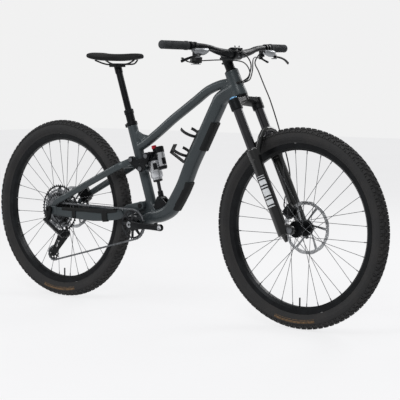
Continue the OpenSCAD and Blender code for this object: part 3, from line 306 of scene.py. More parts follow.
# Vulcanised tyre rubber, faintly dusty
TYRE_RUBBER = Finish(
    "tyre_rubber", "222223", "2b2a2a", Surface.PRESSED_RUBBER, 1.6, 0.12, 60, 0.0, 0.75, 0.08, 0.0, 0.3
)
TAN_LABEL = Finish(
    "tan_sidewall_label", "6a5238", "30291f", Surface.PRESSED_RUBBER, 1.6, 0.06, 6, 0.0, 0.7, 0.06
)
GRIP_GREY = Finish(
    "grip_rubber_faded", "343638", "2a2c2e", Surface.PRESSED_RUBBER, 1.2, 0.12, 20, 0.0, 0.7, 0.08, 0.0, 0.2
)
HOSE = Finish("hose_jacket", "0f1011", "191a1b", Surface.MOULDED, 1.0, 0.02, 40, 0.0, 0.36, 0.06)
DIAL_BLUE = Finish("blue_anodised_dial", "7fb0d6", "6a9cc4", Surface.TURNED, 0.6, 0.02, 10, 0.7, 0.3, 0.05)
KNOB_RED = Finish("red_anodised_knob", "b02330", "8e1a26", Surface.TURNED, 0.6, 0.02, 10, 0.6, 0.32, 0.05)
# Synthetic leather over foam: small cells with soft creases
SADDLE_COVER = Finish(
    "saddle_leatherette", "0c0c0d", "131415", Surface.LEATHERETTE, 1.6, 0.12, 45, 0.0, 0.52, 0.08, 0.0, 0.2
)

# Matt seamless paper under the bike
STUDIO_PAPER = Finish("studio_paper", "616162", "5f5f60", Surface.SPRAYED, 6.0, 0.005, 900, 0.0, 0.85, 0.05)

# CAD nodes that stay visible and aren't black anodised aluminium
CAD_FINISHES: dict[str, Finish] = {
    "stanchions": STANCHION,
    "damper_dial": DIAL_BLUE,
    "front_axle": DARK_STEEL,
    "front_spokes": SPOKE_STEEL,
    "rear_spokes": SPOKE_STEEL,
    "rocker_pins": DARK_STEEL,
}


# ---- mesh building -------------------------------------------------------------------------------


def placed(name: str, data: bpy.types.ID) -> bpy.types.Object:
    """Makes an object in the scene from a mesh, curve, light or camera."""
    made = bpy.data.objects.new(name, data)
    bpy.context.scene.collection.objects.link(made)
    return made


def evaluated(obj: bpy.types.Object) -> bpy.types.Mesh:
    """Returns a plain mesh of an object with its modifiers applied."""
    graph = bpy.context.evaluated_depsgraph_get()
    return bpy.data.meshes.new_from_object(obj.evaluated_get(graph), depsgraph=graph)


def tube_faces(rings: int, sides: int) -> list[tuple[int, ...]]:
    """Returns the faces of a closed tube whose points run ring by ring."""
    faces: list[tuple[int, ...]] = [
        (i * sides + k, i * sides + (k + 1) % sides, (i + 1) * sides + (k + 1) % sides, (i + 1) * sides + k)
        for i in range(rings - 1)
        for k in range(sides)
    ]
    faces.append(tuple(range(sides - 1, -1, -1)))
    faces.append(tuple((rings - 1) * sides + k for k in range(sides)))
    return faces


def polar(centre: Flat, radius: float, angle: float) -> Flat:
    """Returns the [x, z] point at a radius and an angle in radians from a centre."""
    return (centre[0] + radius * math.cos(angle), centre[1] + radius * math.sin(angle))


def mesh_object(
    name: str, points: Iterable[Sequence[float]], faces: Iterable[Sequence[int]], finish: Finish
) -> bpy.types.Object:
    """Makes a smooth shaded object from points in millimetres.

    Args:
        name: The object's name.
        points: Vertex positions in millimetres.
        faces: Vertex numbers of each face, turned outwards.
        finish: Its material.

    Returns:
        The new object, at the origin.
    """
    mesh = bpy.data.meshes.new(name)
    mesh.from_pydata([tuple(c * MM for c in p) for p in points], [], [tuple(f) for f in faces])
    mesh.validate()
    mesh.materials.append(finish.material())
    mesh.shade_smooth()
    return placed(name, mesh)


def outward(obj: bpy.types.Object, merge: float = 1e-5) -> bpy.types.Object:
    """Merges doubled points and turns every face outwards."""
    work = bmesh.new()
    work.from_mesh(obj.data)
    bmesh.ops.remove_doubles(work, verts=work.verts, dist=merge)
    bmesh.ops.recalc_face_normals(work, faces=work.faces)
    work.to_mesh(obj.data)
    work.free()
    return obj


def settle(obj: bpy.types.Object, sharp: float = 35.0) -> bpy.types.Object:
    """Applies an object's modifiers and keeps edges above an angle crisp.

    Args:
        obj: The object.
        sharp: Edge angle in degrees above which shading breaks.

    Returns:
        The same object with a plain mesh.
    """
    mesh = evaluated(obj)
    obj.modifiers.clear()
    old = obj.data
    obj.data = mesh
    if not old.users:
        bpy.data.meshes.remove(old)
    mesh.shade_smooth()
    mesh.set_sharp_from_angle(angle=math.radians(sharp))
    return obj


def bevelled(obj: bpy.types.Object, width: float, segments: int = 2, sharp: float = 35.0) -> bpy.types.Object:
    """Rounds an object's sharp edges by a width in millimetres."""
    modifier = obj.modifiers.new("Edges", "BEVEL")
    modifier.width = width * MM
    modifier.segments = segments
    modifier.limit_method = "ANGLE"
    modifier.angle_limit = math.radians(sharp)
    return settle(obj)


def moved(obj: bpy.types.Object, matrix: Matrix) -> bpy.types.Object:
    """Moves an object's mesh by a matrix whose offset is in millimetres."""
    turn = matrix.copy()
    turn.translation = matrix.translation * MM
    obj.data.transform(turn)
    return obj


def toward(origin: Vector, direction: Vector, hint: Vector = Vector((0.0, 0.0, 1.0))) -> Matrix:
    """Returns a matrix whose Y axis lies along a direction and whose Z axis is nearest a hint."""
    y = direction.normalized()
    x = y.cross(hint).normalized()
    z = x.cross(y)
    return Matrix(
        ((x.x, y.x, z.x, origin.x), (x.y, y.y, z.y, origin.y), (x.z, y.z, z.z, origin.z), (0, 0, 0, 1))
    )


def spline(rows: Sequence[Sequence[float]], steps: int) -> list[list[float]]:
    """Runs a smooth curve through rows of numbers.

    Args:
        rows: The rows to pass through.
        steps: Steps between two rows.

    Returns:
        The rows of the curve, ends included.
    """
    out: list[list[float]] = []
    last = len(rows) - 1
    for i in range(last):
        a, b, c, d = rows[max(i - 1, 0)], rows[i], rows[i + 1], rows[min(i + 2, last)]
        for j in range(steps):
            t = j / steps
            out.append(
                [
                    0.5 * (
                        2 * q + (r - p) * t + (
                            2 * p - 5 * q + 4 * r - s
                        ) * t * t + (3 * q - p - 3 * r + s) * t**3
                    )
                    for p, q, r, s in zip(a, b, c, d)
                ]
            )
    out.append(list(rows[last]))
    return out


def sweep(
    name: str,
    rows: Sequence[Sequence[float]],
    finish: Finish,
    sides: int = 32,
    side: Point = (0.0, 1.0, 0.0),
    square: float = 1.0,
    steps: int = 5,
) -> bpy.types.Object:
    """Sweeps a rounded section along a smooth curve.

    Args:
        name: The object's name.
        rows: Rows of x, y, z, width and depth in millimetres.
        finish: Its material.
        sides: Points round the section.
        side: The direction that the width lies nearest to.
        square: Exponent of the section: 1 is an ellipse, less is squarer.
        steps: Steps between two rows.

    Returns:
        The new object.
    """
    path = spline(rows, steps)
    points: list[Vector] = []
    hint = Vector(side)
    count = len(path)
    for i, row in enumerate(path):
        here = Vector(row[:3])
        before, after = Vector(path[max(i - 1, 0)][:3]), Vector(path[min(i + 1, count - 1)][:3])
        way = (after - before).normalized()
        across = (hint - hint.dot(way) * way).normalized()
        deep = way.cross(across)
        for k in range(sides):
            a = 2 * math.pi * (k + 0.5) / sides
            c, s = math.cos(a), math.sin(a)
            points.append(
                here
                + across * (row[3] / 2 * math.copysign(abs(c) ** square, c))
                + deep * (row[4] / 2 * math.copysign(abs(s) ** square, s))
            )
    made = mesh_object(name, points, tube_faces(count, sides), finish)
    outward(made, 1e-7)
    made.data.set_sharp_from_angle(angle=math.radians(50))
    return made


def lathe(
    name: str, profile: Sequence[Flat], finish: Finish, place: Matrix, steps: int = 48
) -> bpy.types.Object:
    """Turns a closed outline of (radius, length along the axis) round an axis.

    Args:
        name: The object's name.
        profile: The outline; it may touch the axis at radius 0.
        finish: Its material.
        place: Where the axis goes; the axis is the matrix's Y.
        steps: Steps round the axis.

    Returns:
        The new object.
    """
    points: list[Vector] = []
    for k in range(steps):
        a = 2 * math.pi * k / steps
        points += [Vector((r * math.cos(a), y, r * math.sin(a))) for r, y in profile]
    n = len(profile)
    faces = [
        (k * n + i, k * n + (i + 1) % n, ((k + 1) % steps) * n + (i + 1) % n, ((k + 1) % steps) * n + i)
        for k in range(steps)
        for i in range(n)
    ]
    made = mesh_object(name, points, faces, finish)
    outward(made)
    work = bmesh.new()
    work.from_mesh(made.data)
    bmesh.ops.dissolve_degenerate(work, dist=1e-6, edges=work.edges)
    work.to_mesh(made.data)
    work.free()
    made.data.set_sharp_from_angle(angle=math.radians(35))
    return moved(made, place)


def rod(
    name: str, a: Vector, b: Vector, radius: float, finish: Finish, edge: float = 0.6, steps: int = 40
) -> bpy.types.Object:
    """Makes a round bar from a to b with chamfered ends."""
    length = (b - a).length
    profile = [
        (0, 0), (radius - edge, 0), (radius, edge), (radius, length - edge), (radius - edge, length),
        (0, length)
    ]
    return lathe(name, profile, finish, toward(a, b - a, Vector((0.3, 0.2, 1.0))), steps)


def rounded_outline(points: Sequence[Flat], radii: Sequence[float], steps: int = 10) -> list[Flat]:
    """Returns the outline of circles joined by their outer tangents, like a belt round pulleys.

    Args:
        points: Circle centres in counter-clockwise order.
        radii: Their radii.
        steps: Steps on each arc.

    Returns:
        The outline's points.
    """
    out: list[Flat] = []
    n = len(points)

    def leave(i: int, j: int) -> float:
        """Returns the angle at which the belt leaves circle i for circle j."""
        dx, dz = points[j][0] - points[i][0], points[j][1] - points[i][1]
        return math.atan2(dz, dx) - math.pi / 2 + math.asin((radii[i] - radii[j]) / math.hypot(dx, dz))

    for i in range(n):
        a, b = leave(i - 1, i), leave(i, (i + 1) % n)
        turn = (b - a) % (2 * math.pi)
        for k in range(steps + 1):
            g = a + turn * k / steps
            out.append(polar(points[i], radii[i], g))
    return out


def circle(centre: Flat, radius: float, steps: int = 40) -> list[Flat]:
    """Returns a circle's outline."""
    return [polar(centre, radius, 2 * math.pi * k / steps) for k in range(steps)]


def plate(
    name: str, outlines: Sequence[Sequence[Flat]], low: float, high: float, finish: Finish, edge: float = 0.3
) -> bpy.types.Object:
    """Cuts a flat plate with holes that stands across the Y axis.

    Args:
        name: The object's name.
        outlines: Outer outline and hole outlines, as [x, z] points.
        low: Its lower y.
        high: Its higher y.
        finish: Its material.
        edge: Width of the bevel on its edges.

    Returns:
        The new object.
    """
    data = bpy.data.curves.new(name, "CURVE")
    data.dimensions = "2D"
    data.fill_mode = "BOTH"
    data.extrude = (high - low) / 2 * MM - edge * MM
    data.bevel_depth = edge * MM
    data.bevel_resolution = 0
    data.offset = -edge * MM
    for outline in outlines:
        part = data.splines.new("POLY")
        part.points.add(len(outline) - 1)
        part.use_cyclic_u = True
        for p, (x, z) in zip(part.points, outline):
            p.co = (x * MM, z * MM, 0.0, 1.0)
    shape = placed(name + "_outline", data)
    mesh = evaluated(shape)
    bpy.data.objects.remove(shape)
    bpy.data.curves.remove(data)
    mesh.transform(Matrix(((1, 0, 0, 0), (0, 0, -1, (low + high) / 2 * MM), (0, 1, 0, 0), (0, 0, 0, 1))))
    mesh.materials.clear()
    mesh.materials.append(finish.material())
    made = placed(name, mesh)
    outward(made, 2e-6)
    mesh.shade_smooth()
    mesh.set_sharp_from_angle(angle=math.radians(30))
    return made


def block(name: str, size: Point, place: Matrix, finish: Finish, edge: float = 1.5) -> bpy.types.Object:
    """Makes a box with rounded edges, centred on a matrix."""
    x, y, z = (s / 2 for s in size)
    points = [(i, j, k) for i in (-x, x) for j in (-y, y) for k in (-z, z)]
    faces = [(0, 1, 3, 2), (4, 6, 7, 5), (0, 4, 5, 1), (2, 3, 7, 6), (0, 2, 6, 4), (1, 5, 7, 3)]
    made = mesh_object(name, points, faces, finish)
    outward(made)
    return moved(bevelled(made, edge, 3), place)


def joined(name: str, parts: Sequence[bpy.types.Object]) -> bpy.types.Object:
    """Joins objects into one mesh that keeps their materials and sharp edges."""
    mesh = bpy.data.meshes.new(name)
    work = bmesh.new()
    finishes: list[bpy.types.Material] = []
    for part in parts:
        for finish in part.data.materials:
            if finish not in finishes:
                finishes.append(finish)
        numbers = [finishes.index(m) for m in part.data.materials]
        before = len(work.faces)
        work.from_mesh(part.data)
        work.faces.ensure_lookup_table()
        for face in work.faces[before:]:
            face.material_index = numbers[face.material_index] if numbers else 0
    work.to_mesh(mesh)
    work.free()
    for finish in finishes:
        mesh.materials.append(finish)
    for part in parts:
        old = part.data
        bpy.data.objects.remove(part)
        if not old.users:
            bpy.data.meshes.remove(old)
    return placed(name, mesh)


def reskinned(obj: bpy.types.Object, voxel: float, rounds: int, finish: Finish) -> bpy.types.Object:
    """Gives an object one even skin, smooths it and puts one finish on it."""
    remesh = obj.modifiers.new("Fuse", "REMESH")
    remesh.mode = "VOXEL"
    remesh.voxel_size = voxel * MM
    smooth = obj.modifiers.new("Fillet", "SMOOTH")
    smooth.factor = 0.5
    smooth.iterations = rounds
    settle(obj, 80)
    obj.data.materials.clear()
    obj.data.materials.append(finish.material())
    return obj


def fused(
    name: str, parts: Sequence[bpy.types.Object], voxel: float, rounds: int, finish: Finish
) -> bpy.types.Object:
    """Melts overlapping solids into one skin with filleted joints.

    Args:
        name: The object's name.
        parts: Closed solids that overlap.
        voxel: Size of the remesh grid in millimetres.
        rounds: Rounds of smoothing, which set the size of the fillets.
        finish: Its material.

    Returns:
        The new object.
    """
    return reskinned(joined(name, parts), voxel, rounds, finish)


# ---- Geometry Nodes ------------------------------------------------------------------------------


def new_tree(name: str, sizes: dict[str, str]) -> tuple[bpy.types.NodeTree, bpy.types.Node]:
    """Starts a Geometry Nodes tree.

    Args:
        name: The tree's name.
        sizes: Input name to socket type; the geometry input is added first.

    Returns:
        The tree and its Group Input node.
    """
    tree = bpy.data.node_groups.new(name, "GeometryNodeTree")
    tree.interface.new_socket("Geometry", in_out="INPUT", socket_type="NodeSocketGeometry")
    for label, kind in sizes.items():
        tree.interface.new_socket(label, in_out="INPUT", socket_type=kind)
    tree.interface.new_socket("Geometry", in_out="OUTPUT", socket_type="NodeSocketGeometry")
    return tree, add(tree, "NodeGroupInput")


def end_tree(
    tree: bpy.types.NodeTree, shape: bpy.types.NodeSocket, finish: bpy.types.NodeSocket
) -> bpy.types.NodeTree:
    """Closes a tree with real geometry and its material."""
    real = add(tree, "GeometryNodeRealizeInstances", {"Geometry": shape})
    dressed = add(tree, "GeometryNodeSetMaterial", {"Geometry": real.outputs[0], "Material": finish})
    add(tree, "NodeGroupOutput", {0: dressed.outputs[0]})
    return tree


def ring_tree() -> bpy.types.NodeTree:
    """Returns the tree that repeats its geometry in a ring about the Y axis."""
    found = bpy.data.node_groups.get("RingOfCopies")
    if found:
        return found
    tree, put = new_tree(
        "RingOfCopies",
        {
            "Count": "NodeSocketInt", "First Angle": "NodeSocketFloat", "Centre": "NodeSocketVector",
            "Finish": "NodeSocketMaterial"
        },
    )
    points = add(tree, "GeometryNodePoints", {"Count": put.outputs["Count"], "Position": put.outputs["Centre"]})
    step = add(tree, "ShaderNodeMath", {0: 2 * math.pi, 1: put.outputs["Count"]}, operation="DIVIDE")
    index = add(tree, "GeometryNodeInputIndex")
    angle = add(
        tree,
        "ShaderNodeMath",
        {0: index.outputs[0], 1: step.outputs[0], 2: put.outputs["First Angle"]},
        operation="MULTIPLY_ADD",
    )
    turn = add(tree, "ShaderNodeCombineXYZ", {"Y": angle.outputs[0]})
    spin = add(tree, "FunctionNodeEulerToRotation", {0: turn.outputs[0]})
    copies = add(
        tree,
        "GeometryNodeInstanceOnPoints",
        {"Points": points.outputs[0], "Instance": put.outputs["Geometry"], "Rotation": spin.outputs[0]},
    )
    return end_tree(tree, copies.outputs[0], put.outputs["Finish"])


def chain_tree() -> bpy.types.NodeTree:
    """Returns the tree that lays two kinds of link in turn along a flat closed path."""
    found = bpy.data.node_groups.get("LinksOnPath")
    if found:
        return found
    tree, put = new_tree(
        "LinksOnPath",
        {
            "Links": "NodeSocketInt", "Inner Link": "NodeSocketObject", "Outer Link": "NodeSocketObject",
            "Finish": "NodeSocketMaterial"
        },
    )
    path = add(
        tree, "GeometryNodeResampleCurve", {"Curve": put.outputs["Geometry"], "Count": put.outputs["Links"]}
    )
    way = add(tree, "ShaderNodeSeparateXYZ", {0: add(tree, "GeometryNodeInputTangent").outputs[0]})
    down = add(tree, "ShaderNodeMath", {0: way.outputs["Z"], 1: -1.0}, operation="MULTIPLY")
    angle = add(tree, "ShaderNodeMath", {0: down.outputs[0], 1: way.outputs["X"]}, operation="ARCTAN2")
    turn = add(tree, "ShaderNodeCombineXYZ", {"Y": angle.outputs[0]})
    spin = add(tree, "FunctionNodeEulerToRotation", {0: turn.outputs[0]})
    odd = add(
        tree, "ShaderNodeMath", {0: add(tree, "GeometryNodeInputIndex").outputs[0], 1: 2.0}, operation="MODULO"
    )
    kinds = []
    for label, limit, test in (("Inner Link", 0.5, "LESS_THAN"), ("Outer Link", 0.5, "GREATER_THAN")):
        chosen = add(tree, "ShaderNodeMath", {0: odd.outputs[0], 1: limit}, operation=test)
        link = add(tree, "GeometryNodeObjectInfo", {"Object": put.outputs[label]})
        copies = add(
            tree,
            "GeometryNodeInstanceOnPoints",
            {
                "Points": path.outputs[0],
                "Selection": chosen.outputs[0],
                "Instance": link.outputs["Geometry"],
                "Rotation": spin.outputs[0],
            },
        )
        kinds.append(copies.outputs[0])
    both = add(tree, "GeometryNodeJoinGeometry")
    for kind in kinds:
        tree.links.new(kind, both.inputs[0])
    return end_tree(tree, both.outputs[0], put.outputs["Finish"])


def tube_tree() -> bpy.types.NodeTree:
    """Returns the tree that gives a path a round section, for hoses and wires."""
    found = bpy.data.node_groups.get("HoseOnPath")
    if found:
        return found
    tree, put = new_tree(
        "HoseOnPath",
        {"Radius": "NodeSocketFloat", "Sides": "NodeSocketInt", "Finish": "NodeSocketMaterial"},
    )
    section = add(
        tree, "GeometryNodeCurvePrimitiveCircle",
        {"Resolution": put.outputs["Sides"], "Radius": put.outputs["Radius"]}
    )
    skin = add(
        tree,
        "GeometryNodeCurveToMesh",
        {"Curve": put.outputs["Geometry"], "Profile Curve": section.outputs[0], "Fill Caps": True},
    )
    return end_tree(tree, skin.outputs[0], put.outputs["Finish"])


def grown(
    obj: bpy.types.Object, tree: bpy.types.NodeTree, sizes: dict[str, object], sharp: float = 35.0
) -> bpy.types.Object:
    """Runs a Geometry Nodes tree on an object and keeps the result as a plain mesh.

    Args:
        obj: A mesh or curve object that the tree starts from; it is removed.
        tree: The tree.
        sizes: Input name to value.
        sharp: Edge angle in degrees above which shading breaks.

    Returns:
        A new mesh object of the same name.
    """
    modifier = obj.modifiers.new("Repeat", "NODES")
    modifier.node_group = tree
    for item in tree.interface.items_tree:
        if item.item_type == "SOCKET" and item.in_out == "INPUT" and item.name in sizes:
            modifier[item.identifier] = sizes[item.name]
    bpy.context.view_layer.update()
    mesh = evaluated(obj)
    name = obj.name
    bpy.data.objects.remove(obj)
    made = placed(name, mesh)
    mesh.shade_smooth()
    mesh.set_sharp_from_angle(angle=math.radians(sharp))
    return made


def ring_of(
    part: bpy.types.Object, count: int, first: float, centre: Vector, finish: Finish
) -> bpy.types.Object:
    """Repeats a part, drawn round the origin, in a ring about the Y axis at a centre."""
    return grown(
        part,
        ring_tree(),
        {
            "Count": count, "First Angle": math.radians(first), "Centre": tuple(centre * MM),
            "Finish": finish.material()
        },
    )


def path_object(name: str, points: Sequence[Sequence[float]], closed: bool = False) -> bpy.types.Object:
    """Makes a poly curve through points in millimetres."""
    data = bpy.data.curves.new(name, "CURVE")
    data.dimensions = "3D"
    part = data.splines.new("POLY")
    part.points.add(len(points) - 1)
    part.use_cyclic_u = closed
    for p, q in zip(part.points, points):
        p.co = (q[0] * MM, q[1] * MM, q[2] * MM, 1.0)
    made = placed(name, data)
    return made


def hose(name: str, points: Sequence[Sequence[float]], diameter: float, finish: Finish) -> bpy.types.Object:
    """Makes a round hose along a smooth curve through points."""
    curve = path_object(name, spline(points, 8))
    made = grown(
        curve, tube_tree(), {"Radius": diameter / 2 * MM, "Sides": 14, "Finish": finish.material()}, 60
    )
    return outward(made, 1e-7)


# ---- the bike ------------------------------------------------------------------------------------


@dataclass
class Assembly:
    """A sub-assembly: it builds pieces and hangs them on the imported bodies.

    Attributes:
        pieces: Names of the pieces built so far.
    """

    pieces: list[str] = field(default_factory=list)

    def keep(self, obj: bpy.types.Object, body: str, slot: str, *nodes: str) -> bpy.types.Object:
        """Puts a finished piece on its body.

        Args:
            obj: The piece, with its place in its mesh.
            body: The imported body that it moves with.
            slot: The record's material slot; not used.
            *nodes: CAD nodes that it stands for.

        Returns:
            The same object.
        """
        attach(obj, body)
        if nodes:
            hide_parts(*nodes)
        self.pieces.append(obj.name)
        log.info("%s: %d faces on %s", obj.name, len(obj.data.polygons), body)
        return obj

    def cast(
        self, name: str, body: str, slot: str, nodes: Sequence[str], voxel: float, rounds: int, finish: Finish
    ) -> bpy.types.Object:
        """Melts CAD nodes into one skin that stands for them and keeps it on a body."""
        return self.keep(melted(name, nodes, voxel, rounds, finish), body, slot, *nodes)

    def build(self) -> None:
        """Builds every piece of the sub-assembly."""
        raise NotImplementedError


def cad_copy(name: str, nodes: Sequence[str]) -> bpy.types.Object:
    """Copies CAD nodes into one mesh with shared corners.

    Args:
        name: The new object's name.
        nodes: CAD nodes to copy.

    Returns:
        The copy; the nodes stay as they were.
    """
    work = bmesh.new()
    for node in nodes:
        work.from_mesh(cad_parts[node].data)
    bmesh.ops.remove_doubles(work, verts=work.verts, dist=1e-6)
    mesh = bpy.data.meshes.new(name)
    work.to_mesh(mesh)
    work.free()
    mesh.materials.clear()
    return placed(name, mesh)


def melted(
    name: str, nodes: Sequence[str], voxel: float, rounds: int, finish: Finish, extra: Sequence[bpy.types.Object] = ()
) -> bpy.types.Object:
    """Gives CAD nodes the filleted skin of a casting or forging.

    Args:
        name: The new object's name.
        nodes: CAD nodes to copy.
        voxel: Size of the remesh grid in millimetres.
        rounds: Rounds of smoothing.
        finish: The material.
        extra: More closed solids to melt in.

    Returns:
        The new object.
    """
    return fused(name, [cad_copy(name + "_raw", nodes), *extra], voxel, rounds, finish)


def cap_bolt(name: str, place: Matrix, radius: float, height: float, finish: Finish) -> bpy.types.Object:
    """Makes a socket cap bolt whose head stands along a matrix's Y axis."""
    s = radius * 0.52
    profile = [
        (0, 0), (radius, 0), (radius, height * 0.72), (radius * 0.86, height), (s, height),
        (s * 0.92, height * 0.35), (0, height * 0.35)
    ]
    return lathe(name, profile, finish, place, 24)


@dataclass
class FrontFrame(Assembly):
    """The painted front frame with its guards, ports, cage and seat clamp.

    Attributes:
        top_bow: Rows of fraction along the top tube and millimetres of rise.
        down_bow: The same for the down tube.
        voxel: Grid of the fused skin in millimetres.
    """

    top_bow: tuple[Flat, ...] = (
        (0, 0), (0.085, 26), (0.22, 39), (0.35, 33), (0.47, 27), (0.61, 20), (0.75, 9), (0.9, 0), (1, 0)
    )
    down_bow: tuple[Flat, ...] = (
        (0, 0), (0.105, 30), (0.16, 26), (0.27, 10), (0.39, -8), (0.523, -27),
        (0.649, -52), (0.758, -64), (0.822, -67), (0.893, -46), (0.9415, -17), (1, 0),
    )
    voxel: float = 2.3

    def bowed(self, a: Flat, b: Flat, bow: Sequence[Flat], width: float, depth: float) -> list[list[float]]:
        """Returns sweep rows of a tube that bows away from its chord."""
        run = Vector((b[0] - a[0], b[1] - a[1]))
        side = Vector((run.y, -run.x)).normalized()
        rows = []
        for f, rise in bow:
            p = Vector(a) + run * f + side * rise
            rows.append([p.x, 0.0, p.y, width, depth])
        return rows

    def build(self) -> None:
        """Builds the skin first, then what is fixed to it."""
        top = self.bowed((303.6, 903.8), (-189.7, 642.7), self.top_bow, 37.4, 35.4)
        down = self.bowed((311.6, 886.9), (-150.0, 352.0), self.down_bow, 56.4, 55.4)
        tubes = [
            sweep("top_tube_skin", top, FRAME_PAINT, 48, square=0.85),
            sweep("down_tube_skin", down, FRAME_PAINT, 56, square=0.72),
        ]
        tubes.append(rod("seat_tube_foot", seat_point(84.0), seat_point(124.0), 20.3, FRAME_PAINT, 1.0, 64))
        nodes = ["head_tube", "seat_tube", "bottom_bracket_shell"]
        skin = melted("front_frame_skin", nodes, self.voxel, 9, FRAME_PAINT, tubes)
        self.keep(skin, "frame", "frame_paint", "top_tube", "down_tube", *nodes)
        self.cast("down_tube_guard_pair", "frame", "guard_plastic", ["down_tube_guards"], 1.2, 6, GUARD)
        self.cast("bottle_cage_rods", "frame", "black_plastic", ["bottle_cage"], 0.9, 4, BLACK_PLASTIC)
        self.cast("seat_clamp_band", "frame", "black_metal", ["seat_clamp"], 0.6, 3, BLACK_ANODISED)
        self.cast("shock_foot_lugs", "frame", "black_metal", ["shock_mount"], 0.8, 4, BLACK_ANODISED)
        self.build_ports()

    def build_ports(self) -> None:
        """Builds the grommets where the hoses enter the head tube and the seat clamp's bolt."""
        parts = []
        for angle, height in ((0.0, 604.0), (-36.0, 602.0), (36.0, 603.0)):
            a = math.radians(angle)
            out = AHEAD * math.cos(a) + Vector((0, math.sin(a), 0))
            centre = steer_point(0, 0, height) + out * 24.5
            profile = [(0, 0), (7.5, 0), (7.5, 1.9), (6.2, 3.0), (3.2, 3.2), (2.9, 1.0), (0, 1.0)]
            parts.append(lathe("port", profile, BLACK_PLASTIC, toward(centre, out), 28))
        self.keep(joined("hose_ports", parts), "frame", "black_plastic")
        centre = seat_point(421.3, -24.0)
        bolt = cap_bolt(
            "seat_clamp_bolt", toward(centre + Vector((0, 7.0, 0)), Vector((0, 1, 0))), 3.6, 4.0, DARK_STEEL
        )
        self.keep(bolt, "frame", "dark_steel")


@dataclass
class RearFrame(Assembly):
    """Swingarm, seatstays and rocker with their pivots."""

    band_rows: tuple[tuple[float, ...], ...] = (
        (-234, 41, 383, 13, 42), (-274, 45, 370, 14, 44), (-349, 57, 363, 19, 50),
        (-436, 62.5, 365, 16, 46), (-521, 69, 366, 13, 41), (-561, 76, 367, 11, 38), (-585, 83, 368, 7, 36),
    )

    def build(self) -> None:
        """Builds the stays, their covers and the linkage."""
        self.cast(
            "swingarm_skin", "swingarm", "frame_paint", ["chainstay_yoke", "chainstays"], 1.8, 8, FRAME_PAINT
        )
        self.cast("seatstay_skin", "seatstay", "frame_paint", ["seatstays"], 1.7, 7, FRAME_PAINT)
        path = spline(self.band_rows, 10)
        bands = []
        for low, high in ((-338.0, -306.0), (-498.0, -468.0)):
            rows = [[r[0], -r[1], r[2], r[3] + 2.4, r[4] + 2.4] for r in path if low <= r[0] <= high]
            bands.append(sweep("stay_band", rows, GUARD, 32, square=0.75, steps=1))
        rows = [
            [r[0], -r[1], r[2] + r[4] / 2 - 6.5, r[3] + 2.4, 15.6]
            for r in path if -545.0 <= r[0] <= -262.0
        ]
        bands.append(sweep("stay_cover", rows, GUARD, 32, square=0.6, steps=1))
        self.keep(joined("chainstay_bands", bands), "swingarm", "guard_plastic")
        self.cast("rocker_link_pair", "rocker", "black_metal", ["rocker_links"], 0.9, 5, BLACK_ANODISED)
        self.build_pivots()

    def build_pivots(self) -> None:
        """Builds the caps over the pivot bearings."""
        caps = []
        for point in (STAY_PIVOT, ROCKER_PIVOT, SHOCK_TOP):
            for hand in (-1, 1):
                place = toward(at(point, hand * 45.0), Vector((0, hand, 0)))
                caps.append(cap_bolt("pivot_cap", place, 8.6, 2.2, GREY_ALLOY))
        self.keep(joined("rocker_pivot_caps", caps), "rocker", "grey_alloy")
        mains = []
        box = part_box("rear_axle")
        for hand in (-1, 1):
            place = toward(at(MAIN_PIVOT, hand * 39.0), Vector((0, hand, 0)))
            mains.append(cap_bolt("main_cap", place, 9.5, 2.4, BLACK_ANODISED))
        axle_end = toward(at(REAR_AXLE, box[1].y * PER_M - 0.4), Vector((0, 1, 0)))
        ends = [cap_bolt("axle_cap", axle_end, 8.0, 0.4, DARK_STEEL)]
        self.keep(joined("swingarm_pivot_caps", mains + ends), "swingarm", "black_metal")


